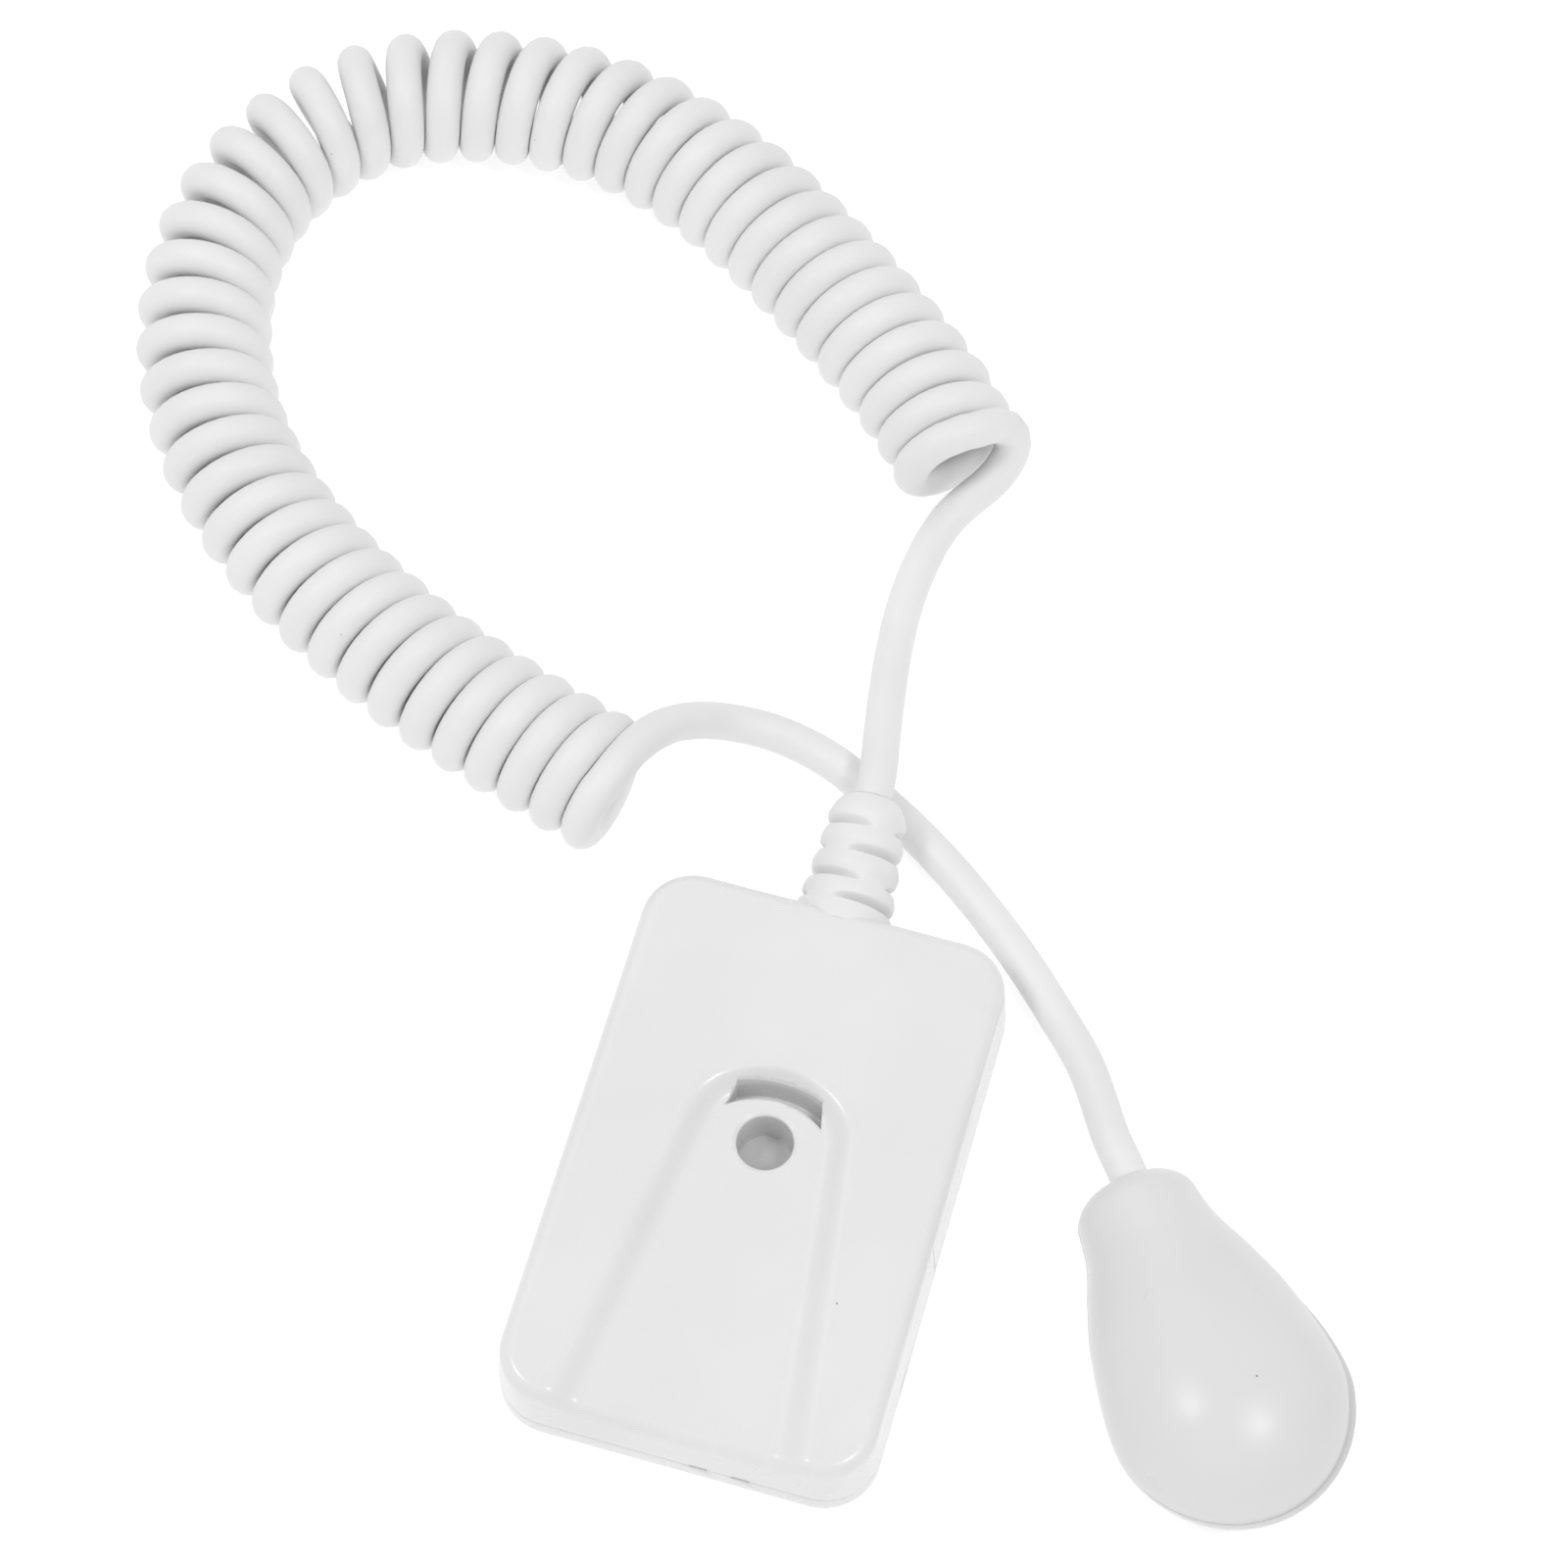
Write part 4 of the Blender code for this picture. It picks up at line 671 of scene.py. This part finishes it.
def cord_points():
    """The whole cord: lead from the box, coil, lead to the handset."""
    helix = helix_points()
    lead_in = [Vector(p) for p in LEAD_BOX_ROUTE]
    lead_out = [Vector(p) for p in LEAD_PEAR_ROUTE]
    lead_out += [PEAR_PLACE @ Vector((PEAR_CORD_X, y, 0)) for y in PEAR_CORD_INSIDE]
    joined_in = smooth_route(lead_in + [Vector(p) for p in helix[:4]], LEAD_STEP)[:-2]
    joined_out = smooth_route([Vector(p) for p in helix[-4:]] + lead_out, LEAD_STEP)[3:]
    return np.concatenate([joined_in, helix[3:-3], joined_out])


def make_cord():
    """The cord as a round curve, with its points in millimetres and its length in metres."""
    points = cord_points()
    data = bpy.data.curves.new("curly_cord", 'CURVE')
    data.dimensions = '3D'
    data.bevel_depth = CORD_RADIUS * MM
    data.bevel_resolution = 6
    data.use_fill_caps = True
    line = data.splines.new('POLY')
    line.points.add(len(points) - 1)
    for knot, point in zip(line.points, points):
        knot.co = (*(Vector(point) * MM), 1.0)
    line.use_smooth = True
    cord = bpy.data.objects.new("curly_cord", data)
    bpy.context.scene.collection.objects.link(cord)
    length = float(np.linalg.norm(np.diff(points, axis=0), axis=1).sum()) * MM
    return cord, points, length


# ---- Handset --------------------------------------------------------------------------------------
def pear_outline():
    """One side of the handset seen from above, from the neck's end to the tail."""
    angles = np.radians(np.linspace(-12, -84, 8))
    bulb = [(PEAR_HALF * math.cos(a), -PEAR_TAIL * math.sin(a)) for a in angles]
    return smooth_route([(w, y, 0.0) for w, y in PEAR_FLANK + bulb + [(0.0, PEAR_TAIL)]], 0.7)


def pear_rows(inset, angles):
    """Rows of points across the handset's body, from neck to tail; each half is as high as it is."""
    outline = pear_outline()
    rows = []
    last = len(outline) - 1
    for i, here in enumerate(outline):
        along = outline[min(i + 1, last)] - outline[max(i - 1, 0)]
        outward = Vector((-along[1], along[0], 0)).normalized()
        outward = outward if outward.x > 0 or i in (0, last) else -outward
        if i in (0, last):
            outward = Vector((0, 1 if i == 0 else -1, 0))
        w, y = here[0] - outward.x * inset, here[1] - outward.y * inset
        w = 0.0 if i in (0, last) else max(w, 0.02)
        share = min(1.0, max(0.0, (here[1] - NECK_FROM) / NECK_REACH))
        rear = PEAR_REAR + (NECK_REAR - PEAR_REAR) * share
        front = PEAR_FRONT + (NECK_FRONT - PEAR_FRONT) * share
        half = PEAR_HALF + (PEAR_NECK_HALF - PEAR_HALF) * share
        row = []
        for a in angles:
            height = rear if math.sin(a) >= 0 else front
            scale = (height - inset) / max(half - inset, 1.0)
            row.append((w * math.cos(a), y, w * math.sin(a) * scale))
        rows.append(row)
    return rows


def front_rows(angles):
    """Outside of the front half: it stands out a little round the bulb and hardly at the neck."""
    rows = []
    for wide, slim in zip(pear_rows(-PEAR_LIP, angles), pear_rows(-NECK_LIP, angles)):
        bulb = 1 - soft_step(*RIM_FADE, slim[0][1])
        row = []
        for far, near in zip(wide, slim):
            x, y, z = Vector(near).lerp(Vector(far), bulb)
            push = bulb * max(0.0, 1 - abs(z) / 5)
            row.append((x + RIM_PUSH[0] * push, y + RIM_PUSH[1] * push, z))
        rows.append(row)
    return rows


def half_shell(name, rear):
    """One half of the handset as a closed shell: outside, inside, and the rim along the split."""
    angles = np.linspace(0, math.pi, PEAR_STEPS + 1) * (1 if rear else -1)
    lift = SPLIT_GAP / 2 * (1 if rear else -1)
    points, faces, edges = [], [], []
    outside = pear_rows(0.0, angles) if rear else front_rows(angles)
    for rows in (outside, pear_rows(PEAR_WALL, angles)):
        ids = []
        for i, row in enumerate(rows):
            first = len(points)
            if i in (0, len(rows) - 1):
                points.append((row[0][0], row[0][1], lift))
                ids.append([first] * (PEAR_STEPS + 1))
            else:
                points.extend((x, y, z + lift) for x, y, z in row)
                ids.append(list(range(first, first + PEAR_STEPS + 1)))
        for a, b in zip(ids, ids[1:]):
            faces += [(a[j], a[j + 1], b[j + 1], b[j]) for j in range(PEAR_STEPS)]
        edges.append(ids)
    outer, inner = edges
    for j in (0, PEAR_STEPS):
        for (a, b), (c, d) in zip(zip(outer, outer[1:]), zip(inner, inner[1:])):
            faces.append((a[j], b[j], d[j], c[j]))
    return add_mesh(name, points, faces, PEAR_PLACE, 40)


def neck_hole(name):
    """The cord's hole in the neck. The split runs across it."""
    ends = (PEAR_END - 5, PEAR_END + 3)
    return round_bar(name, ends, (PEAR_CORD_X, 0), CORD_RADIUS + 0.06, PEAR_PLACE)


def make_pear_rear():
    """Back half of the handset, with two screw bosses."""
    tools = cylinders('UNION', "boss", PEAR_SCREWS, BOSS_RADIUS, (1.6, 7.2), 32, PEAR_PLACE)
    tools += cylinders('DIFFERENCE', "boss_hole", PEAR_SCREWS, BOSS_HOLE, (0.0, 6.6), 24, PEAR_PLACE)
    tools.append(('DIFFERENCE', neck_hole("rear_neck")))
    return carve(half_shell("handset_back", rear=True), tools)


def make_pear_front():
    """Front half of the handset, with the button's collar and two screw posts."""
    rim, face = COLLAR_RADIUS, COLLAR_FACE
    collar = [(rim - 0.7, face), (rim - 0.35, face + 0.06), (rim - 0.08, face + 0.3), (rim, face + 0.7),
              (rim + 0.5, -5.0), (rim + 0.2, -4.0)]
    bore = [(BORE_RADIUS, face + 2.4), (BORE_RADIUS, 2.0)]
    mouth = [(MOUTH_RADIUS + 0.45, face - 1), (MOUTH_RADIUS + 0.45, face), (MOUTH_RADIUS + 0.15, face + 0.12),
             (MOUTH_RADIUS, face + 0.45), (MOUTH_RADIUS, 3.0)]
    tools = [('UNION', turned("collar", collar, (0, 0), 128, PEAR_PLACE))]
    tools += cylinders('UNION', "post", PEAR_SCREWS, PEAR_POST, (-6.4, -0.15), 32, PEAR_PLACE)
    tools.append(('DIFFERENCE', turned("button_bore", bore, (0, 0), 128, PEAR_PLACE)))
    tools.append(('DIFFERENCE', turned("button_mouth", mouth, (0, 0), 128, PEAR_PLACE)))
    tools += cylinders('DIFFERENCE', "front_hole", PEAR_SCREWS, SCREW_HOLE, (-12.0, 3.0), 24, PEAR_PLACE)
    tools += cylinders('DIFFERENCE', "screw_recess", PEAR_SCREWS, SCREW_RECESS, (-13.0, -3.8), 40, PEAR_PLACE)
    tools.append(('DIFFERENCE', neck_hole("front_neck")))
    return carve(half_shell("handset_front", rear=False), tools)


def make_return_spring():
    """Round wire between the button's flange and the handset's board, with nearly closed end turns."""
    around = np.linspace(0, 2 * math.pi, 12, endpoint=False)
    rings = []
    for t in np.linspace(0, 1, int(SPRING_TURNS * 40)):
        angle = 2 * math.pi * SPRING_TURNS * t
        z = SPRING_LOW + (SPRING_HIGH - SPRING_LOW) * soft_step(0.05, 0.95, t)
        ring = []
        for a in around:
            out = SPRING_RADIUS + SPRING_WIRE * math.cos(a)
            ring.append((out * math.cos(angle), out * math.sin(angle), z + SPRING_WIRE * math.sin(a)))
        rings.append(ring)
    return loft("return_spring", rings, PEAR_PLACE, 60)


# ---- Materials ------------------------------------------------------------------------------------
class Surface:
    """A Principled material built up from procedural parts, all on the object's own coordinates."""

    def __init__(self, name, roughness, metallic=0.0):
        self.made = bpy.data.materials.new(name)
        self.made.use_nodes = True
        self.tree = self.made.node_tree
        self.shader = self.tree.nodes["Principled BSDF"]
        self.shader.inputs["Roughness"].default_value = roughness
        self.shader.inputs["Metallic"].default_value = metallic
        self.place = self.tree.nodes.new("ShaderNodeTexCoord").outputs["Object"]
        self.height = None

    def node(self, kind, **settings):
        made = self.tree.nodes.new(kind)
        for key, value in settings.items():
            setattr(made, key, value)
        return made

    def link(self, out, socket):
        self.tree.links.new(out, socket)

    def noise(self, scale, detail=2.0, stretch=None):
        """Cloudy noise from 0 to 1."""
        coordinates = self.place
        if stretch:
            mapping = self.node("ShaderNodeMapping")
            mapping.inputs["Scale"].default_value = stretch
            self.link(self.place, mapping.inputs["Vector"])
            coordinates = mapping.outputs["Vector"]
        made = self.node("ShaderNodeTexNoise")
        made.inputs["Scale"].default_value = scale
        made.inputs["Detail"].default_value = detail
        self.link(coordinates, made.inputs["Vector"])
        return made.outputs["Fac"]

    def spread(self, value, low, high, out_low=0.0, out_high=1.0):
        """Stretch the range low to high over the range out_low to out_high."""
        made = self.node("ShaderNodeMapRange")
        limits = {"From Min": low, "From Max": high, "To Min": out_low, "To Max": out_high}
        for name, number in limits.items():
            made.inputs[name].default_value = number
        self.link(value, made.inputs["Value"])
        return made.outputs["Result"]

    def mix(self, share, first, second):
        """Mix two colours; each is an RGB triple or a socket."""
        made = self.node("ShaderNodeMix", data_type='RGBA')
        for socket, value in ((made.inputs[6], first), (made.inputs[7], second)):
            if isinstance(value, tuple):
                socket.default_value = (*value, 1.0)
            else:
                self.link(value, socket)
        self.link(share, made.inputs[0])
        return made.outputs[2]

    def times(self, first, second):
        """The product of two sockets."""
        made = self.node("ShaderNodeMath", operation='MULTIPLY')
        self.link(first, made.inputs[0])
        self.link(second, made.inputs[1])
        return made.outputs["Value"]

    def specks(self, scale, size, rarity):
        """1 on sparse small dots, 0 elsewhere."""
        cells = self.node("ShaderNodeTexVoronoi")
        cells.inputs["Scale"].default_value = scale
        self.link(self.place, cells.inputs["Vector"])
        dot = self.spread(cells.outputs["Distance"], size, size * 0.5)
        pick = self.node("ShaderNodeSeparateColor")
        self.link(cells.outputs["Color"], pick.inputs["Color"])
        some = self.spread(pick.outputs[0], 1 - rarity, 1 - rarity + 0.001)
        return self.times(dot, some)

    def inside(self, axis, reach, top, bottom):
        """1 within `reach` of an upright axis and between two heights, 0 elsewhere; in metres."""
        parts = self.node("ShaderNodeSeparateXYZ")
        self.link(self.place, parts.inputs["Vector"])
        flat = self.node("ShaderNodeCombineXYZ")
        self.link(parts.outputs["X"], flat.inputs["X"])
        self.link(parts.outputs["Y"], flat.inputs["Y"])
        away = self.node("ShaderNodeVectorMath", operation='DISTANCE')
        self.link(flat.outputs["Vector"], away.inputs[0])
        away.inputs[1].default_value = (*axis, 0.0)
        near = self.spread(away.outputs["Value"], reach, reach - 0.001)
        below = self.spread(parts.outputs["Z"], top, top - 0.0008)
        above = self.spread(parts.outputs["Z"], bottom, bottom + 0.0004)
        return self.times(self.times(near, below), above)

    def colour(self, value):
        self.link(value, self.shader.inputs["Base Color"])

    def roughness(self, value):
        self.link(value, self.shader.inputs["Roughness"])

    def bump(self, value, strength, distance):
        """Relief from a 0 to 1 height, `distance` metres deep, on top of any relief added before."""
        made = self.node("ShaderNodeBump")
        made.inputs["Strength"].default_value = strength
        made.inputs["Distance"].default_value = distance
        self.link(value, made.inputs["Height"])
        if self.height:
            self.link(self.height, made.inputs["Normal"])
        self.height = made.outputs["Normal"]
        self.link(self.height, self.shader.inputs["Normal"])


def tone(colour, factor):
    """The colour made lighter or darker."""
    return tuple(min(1.0, c * factor) for c in colour)


def moulded(name, colour, rough, grain, grain_depth, coat=0.0, pocket=None):
    """Moulded plastic: faint shade changes, handling marks in the gloss, fine grain, a little dust.

    `pocket` is a place (axis, reach, top, bottom) where the colour is greyed as painted shade, standing in
    for the shade down in a hollow."""
    s = Surface(name, rough)
    clouds = s.spread(s.noise(scale=45, detail=3.0), 0.3, 0.7)
    base = s.mix(clouds, tone(colour, 0.97), tone(colour, 1.015))
    base = s.mix(s.specks(scale=260, size=0.055, rarity=0.06), base, tone(colour, 0.45))
    if pocket:
        # painted shade: the colour is greyed down in the slot and well, where the hollow's own shade falls
        base = s.mix(s.inside(*pocket), base, tone(colour, POCKET_SHADE_TONE))
    s.colour(base)
    smears = s.noise(scale=120, detail=5.0, stretch=(1.0, 0.35, 1.0))
    s.roughness(s.spread(smears, 0.3, 0.72, rough * 0.86, rough * 1.18))
    s.bump(s.noise(scale=grain), strength=0.22, distance=grain_depth)
    s.bump(s.noise(scale=160), strength=0.10, distance=0.00012)
    s.shader.inputs["Specular IOR Level"].default_value = 0.35
    if coat:
        s.shader.inputs["Coat Weight"].default_value = coat
        s.shader.inputs["Coat Roughness"].default_value = 0.12
    return s.made


def jacket(name, colour, rough):
    """Soft extruded or moulded elastomer."""
    s = Surface(name, rough)
    clouds = s.spread(s.noise(scale=70, detail=3.0), 0.3, 0.7)
    base = s.mix(clouds, tone(colour, 0.965), tone(colour, 1.012))
    base = s.mix(s.specks(scale=330, size=0.06, rarity=0.05), base, tone(colour, 0.6))
    s.colour(base)
    s.roughness(s.spread(s.noise(scale=300, detail=4.0), 0.3, 0.7, rough * 0.88, rough * 1.14))
    s.bump(s.noise(scale=2600), strength=0.25, distance=0.00002)
    s.bump(s.noise(scale=240, detail=3.0), strength=0.12, distance=0.00010)
    return s.made


def metal(name, colour, rough, stretch):
    """Bare metal with fine drawing or rolling streaks."""
    s = Surface(name, rough, metallic=1.0)
    streaks = s.noise(scale=900, detail=3.0, stretch=stretch)
    s.colour(s.mix(s.spread(streaks, 0.3, 0.7), tone(colour, 0.86), colour))
    s.roughness(s.spread(streaks, 0.25, 0.75, rough * 0.7, rough * 1.4))
    s.bump(streaks, strength=0.15, distance=0.00002)
    return s.made


def laminate(name):
    """Solder mask over faint copper tracks."""
    s = Surface(name, 0.35)
    tracks = s.node("ShaderNodeTexBrick")
    tracks.inputs["Scale"].default_value = 260
    tracks.inputs["Mortar Size"].default_value = 0.06
    tracks.inputs["Color1"].default_value = (0.012, 0.13, 0.05, 1)
    tracks.inputs["Color2"].default_value = (0.015, 0.16, 0.06, 1)
    tracks.inputs["Mortar"].default_value = (0.03, 0.26, 0.10, 1)
    s.link(s.place, tracks.inputs["Vector"])
    s.colour(tracks.outputs["Color"])
    s.bump(tracks.outputs["Fac"], strength=0.3, distance=0.00004)
    s.roughness(s.spread(s.noise(scale=400, detail=3.0), 0.3, 0.7, 0.28, 0.45))
    return s.made


def make_materials():
    """One material for each slot in the record."""
    return {
        "housing_plastic": moulded("housing_plastic", WHITE, 0.27, 2400, 0.00002, coat=0.15,
                                   pocket=SHADED_POCKET),
        "handset_plastic": moulded("handset_plastic", tone(WHITE, 0.93), 0.31, 3000, 0.00002),
        "cord_jacket": jacket("cord_jacket", tone(WHITE, 1.05), 0.50),
        "relief_elastomer": jacket("relief_elastomer", tone(WHITE, 1.05), 0.50),
        "key_plastic": moulded("key_plastic", (0.40, 0.42, 0.45), 0.45, 2600, 0.00003),
        "button_plastic": moulded("button_plastic", (0.60, 0.045, 0.035), 0.34, 2600, 0.00003),
        "dark_plastic": moulded("dark_plastic", (0.03, 0.03, 0.032), 0.5, 2400, 0.00003),
        "inner_plastic": moulded("inner_plastic", (0.78, 0.78, 0.76), 0.45, 2200, 0.00003),
        "board_laminate": laminate("board_laminate"),
        "steel": metal("steel", (0.62, 0.62, 0.63), 0.28, (1.0, 8.0, 1.0)),
        "copper": metal("copper", (0.72, 0.36, 0.20), 0.32, (8.0, 1.0, 1.0)),
        "lamp_plastic": moulded("lamp_plastic", (0.85, 0.72, 0.48), 0.16, 1800, 0.00001),
        "wire_insulation": jacket("wire_insulation", (0.50, 0.09, 0.07), 0.45),
    }


def dress(piece, slot, *replaced):
    """Give a piece of the box, cord or handset its material, put it on the housing's body, and hide the CAD
    nodes it stands for.
    """
    piece.data.materials.clear()
    piece.data.materials.append(MATERIALS[slot])
    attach(piece, HOUSING)
    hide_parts(*replaced)


# ---- The set ------------------------------------------------------------------------------------
MATERIALS = make_materials()

cord, cord_line, cord_length = make_cord()
dress(cord, "cord_jacket", "cord_lead_box", "curly_coil", "cord_lead_pear")

dress(make_rear_cover(), "housing_plastic", "rear_cover")
dress(make_front_cover(), "housing_plastic", "front_cover")
dress(make_strain_relief(), "relief_elastomer", "strain_relief")
dress(make_pear_rear(), "handset_plastic", "pear_rear_shell")
dress(make_pear_front(), "handset_plastic", "pear_front_shell")

spring = make_return_spring()
dress(spring, "steel", "button_spring")
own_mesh(spring)

# every other node keeps its CAD shape and takes its slot's material
for part in frame["record"]["subparts"]:
    node = frame["nodes"][part["node"]]
    if not node.hide_render:
        node.data.materials.clear()
        node.data.materials.append(MATERIALS[part["material_slot"]])

make_floor()
set_view()
set_light()
